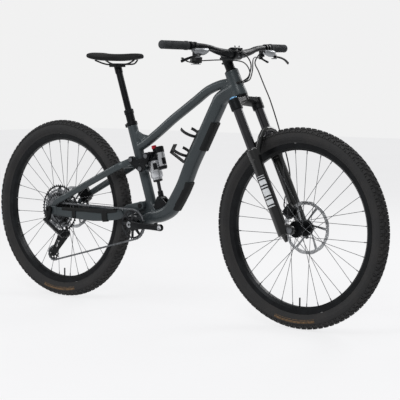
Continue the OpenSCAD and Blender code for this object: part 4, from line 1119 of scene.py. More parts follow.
@dataclass
class Shock(Assembly):
    """The rear shock: can, reservoir, knob, collar and shaft.

    Attributes:
        can_radius: Outer radius of the air can.
        can_length: Distance from the top eye to the can's mouth.
        reservoir_offset: How far ahead of the axis the reservoir stands.
    """

    can_radius: float = 24.0
    can_length: float = 90.0
    reservoir_offset: float = 40.0

    def build(self) -> None:
        """Builds the can and what is fixed to it, then the shaft."""
        top, foot = at(SHOCK_TOP), at(SHOCK_FOOT)
        way = (foot - top).normalized()
        side = way.cross(Vector((0, 1, 0))).normalized()
        if side.x < 0:
            side = -side
        axis = toward(top, way, side)
        r, end = self.can_radius, self.can_length
        can = [
            (12, 21), (r - 3, 21), (r - 1, 23), (r - 1, 27), (r, 28), (r, 66), (r - 1.5, 67.5),
            (r - 1.5, 69), (r, 70.5), (r, end - 3), (r - 2, end), (19, end), (19, 99), (17.5, 100), (12, 100),
        ]
        self.keep(
            lathe("shock_can_body", can, SILVER_ALLOY, axis, 72), "shock_can", "silver_alloy", "shock_can"
        )
        can_marks = (
            (33, 38, 200, 340), (42, 60, 215, 255), (42, 60, 268, 290), (42, 60, 300, 330),
            (33, 60, 20, 60), (33, 38, 70, 150), (42, 60, 80, 130),
        )
        marks = [self.mark(axis, *span) for span in can_marks]
        self.keep(joined("shock_can_marks", marks), "shock_can", "black_metal")
        head = rod(
            "shock_eye", top + Vector((0, -26.8, 0)), top + Vector((0, 26.8, 0)), 15.8, BLACK_ANODISED, 1.5, 56
        )
        neck = lathe("shock_neck", [(0, -6), (15, -6), (23, 12), (23, 22), (0, 22)], BLACK_ANODISED, axis, 56)
        tank_at = top + side * self.reservoir_offset
        arm = sweep(
            "shock_arm",
            [
                [*(top + way * 6), 26, 22], [*(top + way * 2 + side * 20), 24, 20],
                [*(tank_at - way * 8), 26, 24]
            ],
            BLACK_ANODISED, 32
        )
        cast = fused("shock_head_casting", [head, neck, arm], 1.1, 6, BLACK_ANODISED)
        self.keep(cast, "shock_can", "black_metal")
        tank = toward(tank_at, way, side)
        caps = [
            lathe(
                "upper_cap", [(0, -28), (14.5, -28), (17, -25.5), (17, -4), (16.2, -3), (0, -3)],
                BLACK_ANODISED, tank, 64
            ),
            lathe("barrel", [(0, -3.5), (16.4, -3.5), (16.4, 52), (0, 52)], SILVER_ALLOY, tank, 64),
            lathe(
                "lower_cap", [(0, 51.5), (17, 51.5), (17, 57), (16, 60), (14, 64), (0, 64)], BLACK_ANODISED,
                tank, 64
            ),
            *(
                wrap(tank, 16.55, low, high, a0, a1, 0.0, BLACK_ANODISED) for low, high, a0,
                a1 in (
                    (4, 9, 190, 350), (14, 40, 200, 240), (14, 40, 255, 285), (20, 46, 40, 120),
                    (44, 48, 190, 350)
                )
            ),
        ]
        self.keep(joined("shock_reservoir", caps), "shock_can", "black_metal")
        knob_at = toward(top + side * 14, way, side)
        knob = [(0, -37.8), (8.6, -37.8), (10, -36.2), (10, -25), (8.8, -24), (0, -24)]
        stem = lathe("stem", [(0, -24.2), (8.0, -24.2), (8.0, -10), (0, -10)], BLACK_ANODISED, knob_at, 40)
        self.keep(joined("shock_knob_stem", [stem]), "shock_can", "black_metal")
        self.keep(lathe("shock_rebound_knob", knob, KNOB_RED, knob_at, 40), "shock_can", "black_metal")
        collar = [(12, 99), (18.5, 99), (19, 101), (19, 104), (17, 106), (12, 106)]
        shaft = rod("shock_rod", top + way * 104, foot - way * 12, 6.9, STANCHION, 0.5, 48)
        eye = rod(
            "shock_foot_eye", foot + Vector((0, -11.9, 0)), foot + Vector((0, 11.9, 0)), 12.9, BLACK_ANODISED,
            1.2, 48
        )
        bump = lathe(
            "bumper", [(0, 12), (11, 12), (11, 30), (9.5, 34), (0, 34)], BLACK_ANODISED,
            toward(foot, -way, side), 48
        )
        self.keep(joined("shock_lower", [shaft, eye, bump]), "shock_shaft", "black_metal", "shock_shaft")
        self.keep(lathe("shock_wiper", collar, BLACK_PLASTIC, axis, 56), "shock_can", "black_plastic")

    def mark(self, axis: Matrix, low: float, high: float, start: float, stop: float) -> bpy.types.Object:
        """Prints one plain block on the can between two lengths and two angles."""
        return wrap(axis, self.can_radius + 0.12, low, high, start, stop, 0.0, BLACK_ANODISED)


def wrap(
    axis: Matrix,
    radius: float,
    low: float,
    high: float,
    start: float,
    stop: float,
    slant: float,
    finish: Finish,
    depth: float = 0.35,
) -> bpy.types.Object:
    """Lays a thin patch round a cylinder.

    Args:
        axis: The cylinder's place; its axis is the matrix's Y.
        radius: Outer radius of the patch.
        low: Where it starts along the axis.
        high: Where it ends.
        start: First angle in degrees.
        stop: Last angle.
        slant: Degrees that the far end is turned by.
        finish: The material.
        depth: Its thickness.

    Returns:
        The patch, a closed curved sheet.
    """
    across, along = max(int(abs(stop - start) / 5), 2), max(int((high - low) / 6), 1)
    points: list[Vector] = []
    for layer in (radius, radius - depth):
        for i in range(along + 1):
            for j in range(across + 1):
                f = i / along
                a = math.radians(start + (stop - start) * j / across + slant * f)
                points.append(Vector((layer * math.cos(a), low + (high - low) * f, layer * math.sin(a))))
    row, sheet = across + 1, (across + 1) * (along + 1)
    faces = []
    for i in range(along):
        for j in range(across):
            k = i * row + j
            faces += [
                (k, k + 1, k + 1 + row, k + row),
                (sheet + k, sheet + k + row, sheet + k + 1 + row, sheet + k + 1)
            ]
    rim = [
        *range(row), *(i * row + across for i in range(1, along + 1)),
        *(along * row + j for j in range(across - 1, -1, -1)), *(i * row for i in range(along - 1, 0, -1))
    ]
    faces += [
        (rim[k], rim[(k + 1) % len(rim)], sheet + rim[(k + 1) % len(rim)], sheet + rim[k])
        for k in range(len(rim))
    ]
    made = mesh_object("patch", points, faces, finish)
    outward(made, 1e-8)
    made.data.set_sharp_from_angle(angle=math.radians(40))
    return moved(made, axis)


@dataclass
class Fork(Assembly):
    """The suspension fork: crown, legs, seals, dial, marks and caliper.

    Attributes:
        leg_gap: Distance of a leg from the middle plane.
        mark_arc: First and last angle of the printed blocks on the right leg.
        leg_marks: Where each block starts and ends along the leg.
    """

    leg_gap: float = 68.0
    mark_arc: Flat = (128.0, 192.0)
    leg_marks: tuple[Flat, ...] = (
        (104, 108), (114, 132), (138, 143), (149, 175), (181, 186), (192, 210), (216, 219), (225, 227),
    )

    def build(self) -> None:
        """Builds the crown and the lowers, then their small parts."""
        self.cast("fork_crown_forging", "steering", "black_metal", ["fork_crown"], 1.3, 6, BLACK_ANODISED)
        self.cast("fork_lower_casting", "fork_lowers", "gloss_black", ["fork_lowers"], 1.9, 7, GLOSS_BLACK)
        seals, marks = [], []
        seal = [(17.8, 329.5), (21.3, 329.5), (21.3, 331.5), (20.0, 333.5), (18.4, 334.5), (17.8, 334.5)]
        for hand in (-1, 1):
            leg = toward(steer_point(12, hand * self.leg_gap, 0), UP, AHEAD)
            seals.append(lathe("seal", seal, GUARD, leg, 56))
        leg = toward(steer_point(12, -self.leg_gap, 0), UP, AHEAD)
        for low, high in self.leg_marks:
            marks.append(wrap(leg, 24.5, low, high, *self.mark_arc, 4.0, WHITE_PRINT, 2.0))
        self.keep(joined("fork_seals", seals), "fork_lowers", "black_plastic")
        self.keep(joined("fork_leg_marks", marks), "fork_lowers", "silver_alloy")
        self.cast("front_caliper_body", "fork_lowers", "black_metal", ["front_caliper"], 0.9, 4, BLACK_ANODISED)
        self.build_dial()

    def build_dial(self) -> None:
        """Builds the grip ribs round the damper dial."""
        place = toward(steer_point(12, -self.leg_gap, 539.3), UP, AHEAD)
        rib = block("dial_rib", (1.0, 5.0, 1.3), Matrix.Translation((13.3, 3.5, 0)), DIAL_BLUE, 0.25)
        ribs = ring_of(rib, 30, 0.0, Vector((0, 0, 0)), DIAL_BLUE)
        moved(ribs, place)
        self.keep(ribs, "damper_dial", "dial_blue")
        cap = cap_bolt(
            "air_cap", toward(steer_point(12, self.leg_gap, 539.3), UP, AHEAD), 11.0, 6.0, BLACK_ANODISED
        )
        self.keep(cap, "steering", "black_metal")


def islands(obj: bpy.types.Object) -> list[list[Vector]]:
    """Returns the points of each separate piece of a mesh, in millimetres."""
    work = bmesh.new()
    work.from_mesh(obj.data)
    bmesh.ops.remove_doubles(work, verts=work.verts, dist=1e-6)
    seen: set[int] = set()
    out = []
    work.verts.ensure_lookup_table()
    for vert in work.verts:
        if vert.index in seen:
            continue
        stack, group = [vert], []
        seen.add(vert.index)
        while stack:
            here = stack.pop()
            group.append(here.co * PER_M)
            for edge in here.link_edges:
                other = edge.other_vert(here)
                if other.index not in seen:
                    seen.add(other.index)
                    stack.append(other)
        out.append(group)
    work.free()
    return out


def segments(
    name: str, pairs: Sequence[tuple[Vector, Vector]], diameter: float, sides: int, finish: Finish
) -> bpy.types.Object:
    """Makes straight round bars between pairs of points with the hose tree."""
    data = bpy.data.curves.new(name, "CURVE")
    data.dimensions = "3D"
    for a, b in pairs:
        part = data.splines.new("POLY")
        part.points.add(1)
        part.points[0].co = (*(a * MM), 1.0)
        part.points[1].co = (*(b * MM), 1.0)
    made = placed(name, data)
    return outward(
        grown(made, tube_tree(), {"Radius": diameter / 2 * MM, "Sides": sides, "Finish": finish.material()}),
        1e-8
    )


@dataclass
class Wheel(Assembly):
    """One wheel with its tyre, rim, spokes, hub and rotor.

    Attributes:
        end: "front" or "rear"; it names the nodes and the body.
        axle: The axle's place.
        rotor_y: Middle plane of the rotor.
        rotor_radius: Its outer radius.
        tyre_radius: Outer radius over the knobs.
        section: Radius from the axle to the middle of the tyre's section.
        pitches: Repeats of the tread pattern round the tyre.
    """

    end: str = "front"
    axle: Flat = FRONT_AXLE
    rotor_y: float = 40.0
    rotor_radius: float = 100.0
    tyre_radius: float = 374.0
    section: float = 342.5
    pitches: int = 92

    def build(self) -> None:
        """Builds the tyre first and works inwards."""
        body = self.end + "_wheel"
        self.keep(self.carcass(), body, "tyre", self.end + "_tyre")
        self.keep(self.tread(), body, "tyre")
        labels = joined(self.end + "_tyre_labels", [self.label(hand, -106, -76) for hand in (-1, 1)])
        self.keep(labels, body, "tyre")
        nipples = []
        centre = at(self.axle)
        for group in islands(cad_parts[self.end + "_spokes"]):
            far = max(group, key=lambda p: math.hypot(p.x - centre.x, p.z - centre.z))
            reach = math.hypot(far.x - centre.x, far.z - centre.z)
            rim = mean([p for p in group if math.hypot(p.x - centre.x, p.z - centre.z) > reach - 2])
            hub = mean([p for p in group if math.hypot(p.x - centre.x, p.z - centre.z) < reach - 200] or group)
            nipples.append((rim, rim + (hub - rim).normalized() * 12))
        self.keep(segments(self.end + "_spoke_nipples", nipples, 3.9, 8, DARK_STEEL), body, "dark_steel")
        self.keep(self.rotor(), body, "steel", self.end + "_rotor")
        self.keep(self.rotor_centre(), body, "black_metal")

    def on_tyre(self, along: float, around: float, out: float) -> Vector:
        """Returns a point on the tyre.

        Args:
            along: Angle round the wheel in radians.
            around: Angle round the section in radians, 0 at the crown.
            out: Distance outside the casing.

        Returns:
            The point, about a wheel centre at the origin.
        """
        r = self.section + (27.2 + out) * math.cos(around)
        return Vector((r * math.cos(along), (28.3 + out) * math.sin(around), r * math.sin(along)))

    def carcass(self) -> bpy.types.Object:
        """Turns the casing with its beads and rim strip lines."""
        profile: list[Flat] = []
        for k in range(-33, 34):
            a = math.radians(k * 4)
            lift = 0.5 if 24 <= abs(k) <= 25 else 0.0
            profile.append((self.section + (27.2 + lift) * math.cos(a), (28.3 + lift) * math.sin(a)))
        profile += [
            (316.5, 17.0), (316.5, 15.0), (322.0, 14.5), (330, 20), (345, 23), (360, 18), (365, 0), (360, -18),
            (345, -23), (330, -20), (322.0, -14.5), (316.5, -15.0), (316.5, -17.0)
        ]
        return lathe(self.end + "_tyre_casing", profile, TYRE_RUBBER, Matrix.Translation(at(self.axle)), 160)

    def tread(self) -> bpy.types.Object:
        """Repeats one pitch of knobs round the tyre."""
        pitch = 2 * math.pi * self.tyre_radius / self.pitches
        knobs = [
            (-0.25, 0.13, 10.5, 7.6, 4.3), (-0.25, -0.13, 10.5, 7.6, 4.3),
            (0.25, 0.43, 10.0, 8.0, 4.3), (0.25, -0.43, 10.0, 8.0, 4.3),
            (-0.25, 0.86, 13.0, 10.0, 4.4), (-0.25, -0.86, 13.0, 10.0, 4.4),
            (0.25, 1.0, 6.5, 6.0, 3.0), (0.25, -1.0, 6.5, 6.0, 3.0),
        ]
        points: list[Vector] = []
        faces: list[tuple[int, ...]] = []
        for shift, around, length, width, height in knobs:
            base = len(points)
            for out, shrink in ((-1.0, 1.12), (height * 0.85, 0.96), (height, 0.84)):
                for i, j in ((-1, -1), (1, -1), (1, 1), (-1, 1)):
                    along = (shift * pitch + i * length / 2 * shrink) / self.tyre_radius
                    points.append(self.on_tyre(along, around + j * width / 2 * shrink / 28, min(out, height)))
            for level in (0, 4):
                for k in range(4):
                    m = (k + 1) % 4
                    faces.append(
                        (base + level + k, base + level + m, base + level + 4 + m, base + level + 4 + k)
                    )
            faces.append((base + 8, base + 9, base + 10, base + 11))
            faces.append((base + 3, base + 2, base + 1, base))
        part = outward(mesh_object(self.end + "_tyre_knobs", points, faces, TYRE_RUBBER), 1e-8)
        return ring_of(part, self.pitches, 0.0, at(self.axle), TYRE_RUBBER)

    def label(self, hand: int, start: float, stop: float) -> bpy.types.Object:
        """Lays one plain label strip on a sidewall between two angles in degrees."""
        steps = int((stop - start) / 1.5)
        points: list[Vector] = []
        for out in (0.35, -0.4):
            for k in range(steps + 1):
                a = math.radians(start + (stop - start) * k / steps)
                for around in (1.36, 1.52, 1.68, 1.84):
                    points.append(self.on_tyre(a, hand * around, out) + at(self.axle))
        sheet = (steps + 1) * 4
        faces = []
        for k in range(steps):
            for j in range(3):
                q = k * 4 + j
                faces += [(q, q + 1, q + 5, q + 4), (sheet + q, sheet + q + 4, sheet + q + 5, sheet + q + 1)]
            for q in (k * 4, k * 4 + 3):
                faces.append((q, q + 4, sheet + q + 4, sheet + q))
        for q in (0, steps * 4):
            faces += [(q + j, q + j + 1, sheet + q + j + 1, sheet + q + j) for j in range(3)]
        return outward(mesh_object("label", points, faces, TAN_LABEL), 1e-8)

    def rotor(self) -> bpy.types.Object:
        """Cuts the brake rotor: a waved ring, its drillings and six swept arms."""
        radius, ring = self.rotor_radius, 14.0
        c = self.axle
        outer = []
        for k in range(240):
            a = 2 * math.pi * k / 240
            r = radius - 0.9 - 0.8 * math.cos(12 * a)
            outer.append(polar(c, r, a))
        outlines: list[list[Flat]] = [outer]
        for arm in range(6):
            a0 = arm * math.pi / 3
            window = []
            for k in range(11):
                a = a0 + math.radians(3.5 + 53 * k / 10)
                window.append(polar(c, radius - ring, a))
            for k in range(7):
                a = a0 + math.radians(73 - 49 * k / 6)
                window.append(polar(c, 31, a))
            outlines.append(window)
        for k in range(36):
            a = 2 * math.pi * (k + 0.5) / 36
            for r, hole in ((radius - 4.6, 1.3), (radius - 11.6, 1.6)):
                b = a + (0.0 if r > radius - 8 else math.pi / 36)
                outlines.append(circle(polar(c, r, b), hole, 8))
        outlines.append(circle(c, 17.5, 40))
        return plate(self.end + "_rotor_disc", outlines, self.rotor_y - 0.9, self.rotor_y + 0.9, STEEL, 0.12)

    def rotor_centre(self) -> bpy.types.Object:
        """Turns the rotor's carrier ring and makes its lock ring's notches."""
        y = self.rotor_y
        ring = lathe(
            "carrier",
            [(17.6, -1.4), (24.5, -1.4), (25, -0.9), (25, 0.9), (24.5, 1.4), (22, 1.4), (22, 2.6), (17.6, 2.6)],
            BLACK_ANODISED, Matrix.Translation(at(self.axle, y)), 64
        )
        notch = block("notch", (2.0, 1.2, 1.6), Matrix.Translation((22.4, 2.2, 0)), BLACK_ANODISED, 0.2)
        notches = ring_of(notch, 16, 0.0, at(self.axle, y), BLACK_ANODISED)
        return joined(self.end + "_rotor_carrier", [ring, notches])


def mean(points: Sequence[Vector]) -> Vector:
    """Returns the middle of some points."""
    total = Vector((0.0, 0.0, 0.0))
    for p in points:
        total += p
    return total / len(points)


def toothed(centre: Flat, teeth: int, phase: float, root: float, tip: float) -> list[Flat]:
    """Returns a sprocket's outline with a tooth gap at the phase angle.

    Args:
        centre: Its middle.
        teeth: Number of teeth.
        phase: Angle in radians at which a chain roller sits.
        root: Radius at the bottom of a gap.
        tip: Radius at the tip of a tooth.

    Returns:
        The outline's points.
    """
    out = []
    step = 2 * math.pi / teeth
    for k in range(teeth):
        for f, r in (
            (-0.16, root + 0.5), (0.0, root), (0.16, root + 0.5), (0.33, (root + tip) / 2), (0.43, tip),
            (0.57, tip), (0.67, (root + tip) / 2)
        ):
            a = phase + (k + f) * step
            out.append(polar(centre, r, a))
    return out


@dataclass(frozen=True)
class Pulley:
    """A wheel that the chain runs round.

    Attributes:
        centre: Its axle.
        teeth: Number of teeth.
        turn: 1 where the chain wraps it clockwise seen from the left, else -1.
    """

    centre: Flat
    teeth: int
    turn: int

    @property
    def radius(self) -> float:
        """Returns the radius of the chain's pins on it."""
        return pitch_radius(self.teeth)


@dataclass
class Drivetrain(Assembly):
    """Chain, chainring, cranks, cassette and derailleur.

    Attributes:
        cogs: Teeth of the cassette's sprockets, from the smallest, outermost one.
        driven: Which sprocket the chain is on.
        ring: Teeth of the chainring.
        links: Links in the chain, counted when its path is known.
    """

    cogs: tuple[int, ...] = (10, 12, 14, 16, 18, 21, 24, 28, 32, 36, 42, 50)
    driven: int = 2
    ring: int = 30
    links: int = 0

    def loop(self) -> list[Pulley]:
        """Returns the pulleys in the order that the chain meets them."""
        return [
            Pulley(REAR_AXLE, self.cogs[self.driven], 1),
            Pulley(CRANK, self.ring, 1),
            Pulley(TENSION, TENSION_TEETH, 1),
            Pulley(GUIDE, GUIDE_TEETH, -1),
        ]

    def path(self) -> tuple[list[Vector], list[float]]:
        """Runs the chain's pitch line round the pulleys.

        Returns:
            Points of the closed line, and for each pulley the angle at which a roller sits.
        """
        wheels = self.loop()
        count = len(wheels)
        leaves = []
        for k in range(count):
            a, b = wheels[k], wheels[(k + 1) % count]
            dx, dz = b.centre[0] - a.centre[0], b.centre[1] - a.centre[1]
            q = a.turn * a.radius - b.turn * b.radius
            leaves.append(math.atan2(dz, dx) - math.atan2(q, math.sqrt(dx * dx + dz * dz - q * q)))
        line: list[Vector] = []
        spans: list[tuple[int, float, float, int]] = []
        for k in range(count):
            w = wheels[k]
            start = leaves[k - 1] + math.pi / 2 * w.turn
            stop = leaves[k] + math.pi / 2 * w.turn
            sweep_by = (start - stop) % (2 * math.pi) if w.turn > 0 else (stop - start) % (2 * math.pi)
            steps = max(int(sweep_by / math.radians(3)), 2)
            spans.append((len(line), start, sweep_by, steps))
            for i in range(steps + 1):
                a = start - w.turn * sweep_by * i / steps
                line.append(at(polar(w.centre, w.radius, a), CHAIN_Y))
        lengths = [0.0]
        for i in range(len(line)):
            lengths.append(lengths[-1] + (line[(i + 1) % len(line)] - line[i]).length)
        self.links = 2 * round(lengths[-1] / PITCH / 2)
        real = lengths[-1] / self.links
        phases = []
        for k, (first, start, sweep_by, steps) in enumerate(spans):
            s0 = lengths[first]
            roller = (math.ceil(s0 / real - 0.5) + 0.5) * real
            phases.append(start - wheels[k].turn * (roller - s0) / wheels[k].radius)
        return line, phases

    def build(self) -> None:
        """Builds the chain and everything that it turns."""
        line, phases = self.path()
        self.build_chain(line)
        self.build_cassette(phases[0])
        self.build_cranks(phases[1])
        self.build_derailleur(phases[3], phases[2])

    def build_chain(self, line: list[Vector]) -> None:
        """Lays the two kinds of link along the loop."""
        inner, outer = self.link("chain_inner_link", 1.15, 2.0), self.link("chain_outer_link", 2.05, 2.9)
        curve = path_object("chain_links", line, True)
        tree = chain_tree()
        made = grown(
            curve,
            tree,
            {"Links": self.links, "Inner Link": inner, "Outer Link": outer, "Finish": DARK_STEEL.material()},
        )
        for link in (inner, outer):
            bpy.data.objects.remove(link)
        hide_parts("chain")
        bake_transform(made)
        self.pieces.append(made.name)
        log.info("%s: %d links", made.name, self.links)

    def link(self, name: str, low: float, high: float) -> bpy.types.Object:
        """Makes one link about the origin: two waisted plates and a roller at each end."""
        half = PITCH / 2
        outline = []
        for k in range(-2, 3):
            a = math.radians(k * 36)
            outline.append((half + 4.0 * math.cos(a), 4.0 * math.sin(a)))
        outline.append((0.0, 2.7))
        for k in range(-2, 3):
            a = math.radians(180 + k * 36)
            outline.append((-half + 4.0 * math.cos(a), 4.0 * math.sin(a)))
        outline.append((0.0, -2.7))
        points: list[Vector] = []
        faces: list[tuple[int, ...]] = []
        n = len(outline)
        for hand in (-1, 1):
            base = len(points)
            points += [Vector((x, hand * low, z)) for x, z in outline] + [
                Vector((x, hand * high, z)) for x, z in outline
            ]
            faces += [(base + k, base + (k + 1) % n, base + n + (k + 1) % n, base + n + k) for k in range(n)]
            faces += [tuple(base + k for k in range(n)), tuple(base + n + k for k in range(n - 1, -1, -1))]
        for x in (-half, half):
            base = len(points)
            radius = 3.7 if low < 1.5 else 1.7
            reach = low if low < 1.5 else high + 0.3
            for y in (-reach, reach):
                points += [
                    Vector((x + radius * math.cos(math.pi * k / 4), y, radius * math.sin(math.pi * k / 4)))
                    for k in range(8)
                ]
            faces += [(base + k, base + (k + 1) % 8, base + 8 + (k + 1) % 8, base + 8 + k) for k in range(8)]
            faces += [tuple(base + k for k in range(8)), tuple(base + 8 + k for k in range(7, -1, -1))]
        return outward(mesh_object(name, points, faces, DARK_STEEL), 1e-8)

    def build_cassette(self, phase: float) -> None:
        """Cuts the sprockets, lightens the large ones and turns the lock ring."""
        parts = []
        for i, teeth in enumerate(self.cogs):
            y = CHAIN_Y + (i - self.driven) * COG_STEP
            r = pitch_radius(teeth)
            turn = phase if i == self.driven else phase + i * 0.4
            outlines = [toothed(REAR_AXLE, teeth, turn, r - TOOTH_DEPTH, r + TOOTH_RISE)]
            if r > 50:
                for arm in range(7):
                    a0 = arm * 2 * math.pi / 7 + i * 0.15
                    outlines.append(
                        [polar(REAR_AXLE, r - 10, a0 + 0.72 * k / 8) for k in range(9)]
                        + [polar(REAR_AXLE, r * 0.55, a0 + 0.25 + 0.5 * k / 5) for k in range(5, -1, -1)]
                    )
            outlines.append(circle(REAR_AXLE, 18.6 if i > 1 else 12.4, 36))
            finish = COG_BLACK if i % 3 == 2 and i > 6 else DARK_STEEL
            parts.append(plate("cog", outlines, y - 0.7, y + 0.7, finish, 0.15))
        self.keep(joined("cassette_sprockets", parts), "cassette", "dark_steel", "cassette")
        outer_y = CHAIN_Y - self.driven * COG_STEP
        spider = [(18.7, outer_y + 3), (21, outer_y + 3), (21.5, outer_y + 36), (18.7, outer_y + 36)]
        lock = [(12.5, outer_y - 1.4), (14.6, outer_y - 1.4), (15.6, outer_y - 0.7), (12.5, outer_y + 1.5)]
        self.keep(
            joined(
                "cassette_carrier",
                [
                    lathe("spider", spider, COG_BLACK, Matrix.Translation(at(REAR_AXLE)), 48),
                    lathe("lock", lock, GREY_ALLOY, Matrix.Translation(at(REAR_AXLE)), 48)
                ]
            ),
            "cassette",
            "dark_steel",
        )

    def build_cranks(self, phase: float) -> None:
        """Cuts the chainring and forges the arms round their pedal holes."""
        r = pitch_radius(self.ring)
        outlines = [toothed(CRANK, self.ring, phase, r - TOOTH_DEPTH, r + TOOTH_RISE)]
        for arm in range(8):
            a0 = arm * math.pi / 4 + 0.1
            outlines.append(
                [polar(CRANK, r - 10, a0 + 0.56 * k / 8) for k in range(9)]
                + [polar(CRANK, 27, a0 + 0.14 + 0.3 * k / 4) for k in range(4, -1, -1)]
            )
        outlines.append(circle(CRANK, 15.5, 40))
        ring = plate("chainring_plate", outlines, CHAIN_Y - 0.9, CHAIN_Y + 0.9, COG_BLACK, 0.2)
        self.keep(ring, "crankset", "dark_steel", "crankset")
        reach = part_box("crankset")[1].x * PER_M - 14.0 - CRANK[0]
        arms, rings = [], []
        for hand, way in ((-1, 1), (1, -1)):
            profile = (
                (-12, 73, 13.0, 28.0), (-4, 73, 14.0, 37.0), (12, 74, 13.5, 36.0), (50, 79, 10.5, 27.0),
                (reach * 0.65, 80.5, 11.0, 24.5), (reach - 8, 81.7, 13.0, 26.5), (reach + 5, 81.7, 13.0, 26.0),
                (reach + 12.5, 81.7, 12.0, 15.0),
            )
            rows = [[CRANK[0] + way * x, hand * y, CRANK[1], width, depth] for x, y, width, depth in profile]
            arm = sweep("arm", rows, BLACK_ANODISED, 40, square=0.72, steps=6)
            boss = rod("boss", at(CRANK, hand * 66.2), at(CRANK, hand * 79.8), 18.8, BLACK_ANODISED, 1.5, 64)
            eye = rod(
                "eye", pedal_end(reach, hand, 75.2), pedal_end(reach, hand, 88.3), 13.7, BLACK_ANODISED, 1.5, 56
            )
            arms += [arm, boss, eye]
            pedal = Matrix.Translation(pedal_end(reach, hand, 0))
            low, high = sorted((hand * 75.0, hand * 88.5))
            insert = [(7.2, low), (9.3, low), (9.3, high), (7.2, high)]
            rings.append(lathe("insert", insert, SILVER_ALLOY, pedal, 48))
            cap = toward(at(CRANK, hand * 79.4), Vector((0, hand, 0)))
            preload = [(0, 0), (12.5, 0), (12.5, 0.5), (11.2, 1.0), (4.6, 1.0), (4.2, -2.0), (0, -2.0)]
            rings.append(lathe("preload_cap", preload, GREY_ALLOY, cap, 48))
        spindle = rod("spindle", at(CRANK, -67), at(CRANK, 67), 14.4, BLACK_ANODISED, 0.5, 56)
        skin = fused("crank_arm_pair", [*arms, spindle], 1.2, 6, BLACK_ANODISED)
        holes = [
            rod(
                "pedal_bore", pedal_end(reach, hand, 70), pedal_end(reach, hand, 95), 9.0, SILVER_ALLOY, 0.1, 48
            )
            for hand in (-1, 1)
        ]
        cutter = joined("pedal_bores", holes)
        cut = skin.modifiers.new("Bore", "BOOLEAN")
        cut.operation = "DIFFERENCE"
        cut.solver = "EXACT"
        cut.object = cutter
        settle(skin, 50)
        bpy.data.objects.remove(cutter)
        skin.data.materials.clear()
        skin.data.materials.append(BLACK_ANODISED.material())
        for face in skin.data.polygons:
            face.material_index = 0
        self.keep(skin, "crankset", "black_metal")
        self.keep(joined("crank_inserts", rings), "crankset", "silver_alloy")

    def build_derailleur(self, guide_phase: float, tension_phase: float) -> None:
        """Builds the derailleur's link, knuckle, cage and pulleys."""
        self.cast(
            "derailleur_parallelogram", "derailleur_link", "black_metal", ["derailleur_link"], 0.8, 5,
            BLACK_ANODISED
        )
        self.cast(
            "derailleur_p_knuckle", "derailleur_knuckle", "black_metal", ["derailleur_knuckle"], 0.8, 5,
            BLACK_ANODISED
        )
        cover = cap_bolt(
            "derailleur_clutch_cover", toward(at(KNUCKLE, -87.7), Vector((0, -1, 0))), 11.0, 0.9, GREY_PLASTIC
        )
        self.keep(cover, "derailleur_knuckle", "grey_alloy")
        sides = []
        for low, high in ((-62.7, -60.5), (-53.8, -51.6)):
            ends = [KNUCKLE, TENSION, GUIDE] if low < -60 else [TENSION, GUIDE]
            if low < -60:
                outer = rounded_outline(order_ccw(ends), [13.0] * 3, 12)
            else:
                outer = rounded_outline(ends, [11.0, 11.0], 14)
            outlines = [outer]
            mid = ((TENSION[0] + GUIDE[0]) / 2, (TENSION[1] + GUIDE[1]) / 2)
            toward_guide = Vector((GUIDE[0] - TENSION[0], GUIDE[1] - TENSION[1])).normalized()
            slot_ends = [(mid[0] + end * toward_guide.x, mid[1] + end * toward_guide.y) for end in (-17, 17)]
            outlines.append(rounded_outline(slot_ends, [5.5, 5.5], 8))
            sides.append(plate("cage_side", outlines, low, high, BLACK_ANODISED, 0.4))
        bolts = [
            cap_bolt("pulley_bolt", toward(at(p, -62.4), Vector((0, -1, 0))), 4.6, 0.3, DARK_STEEL)
            for p in (GUIDE, TENSION)
        ]
        spacers = [
            rod("pulley_axle", at(p, -60.6), at(p, -53.7), 3.4, DARK_STEEL, 0.2, 20)
            for p in (GUIDE, TENSION)
        ]
        self.keep(
            joined("derailleur_cage_sides", [*sides, *bolts, *spacers]), "derailleur_cage", "black_metal",
            "derailleur_cage"
        )
        for name, centre, teeth, phase in (
            ("guide_pulley", GUIDE, GUIDE_TEETH, guide_phase),
            ("tension_pulley", TENSION, TENSION_TEETH, tension_phase)
        ):
            r = pitch_radius(teeth)
            outlines = [toothed(centre, teeth, phase, r - TOOTH_DEPTH, r + 1.4)]
            for k in range(6):
                a = k * math.pi / 3
                outlines.append(circle(polar(centre, r * 0.56, a), r * 0.16, 14))
            outlines.append(circle(centre, 4.2, 24))
            wheel = plate(name + "_wheel", outlines, CHAIN_Y - 0.75, CHAIN_Y + 0.75, BLACK_PLASTIC, 0.2)
            self.keep(wheel, name, "black_plastic", name)


def pedal_end(reach: float, hand: int, y: float) -> Vector:
    """Returns a point on a pedal hole's axis."""
    return Vector((CRANK[0] - hand * reach, hand * y, CRANK[1]))


def order_ccw(points: Sequence[Flat]) -> list[Flat]:
    """Sorts three or more [x, z] points counter-clockwise about their middle."""
    cx, cz = sum(p[0] for p in points) / len(points), sum(p[1] for p in points) / len(points)
    return sorted(points, key=lambda p: math.atan2(p[1] - cz, p[0] - cx))


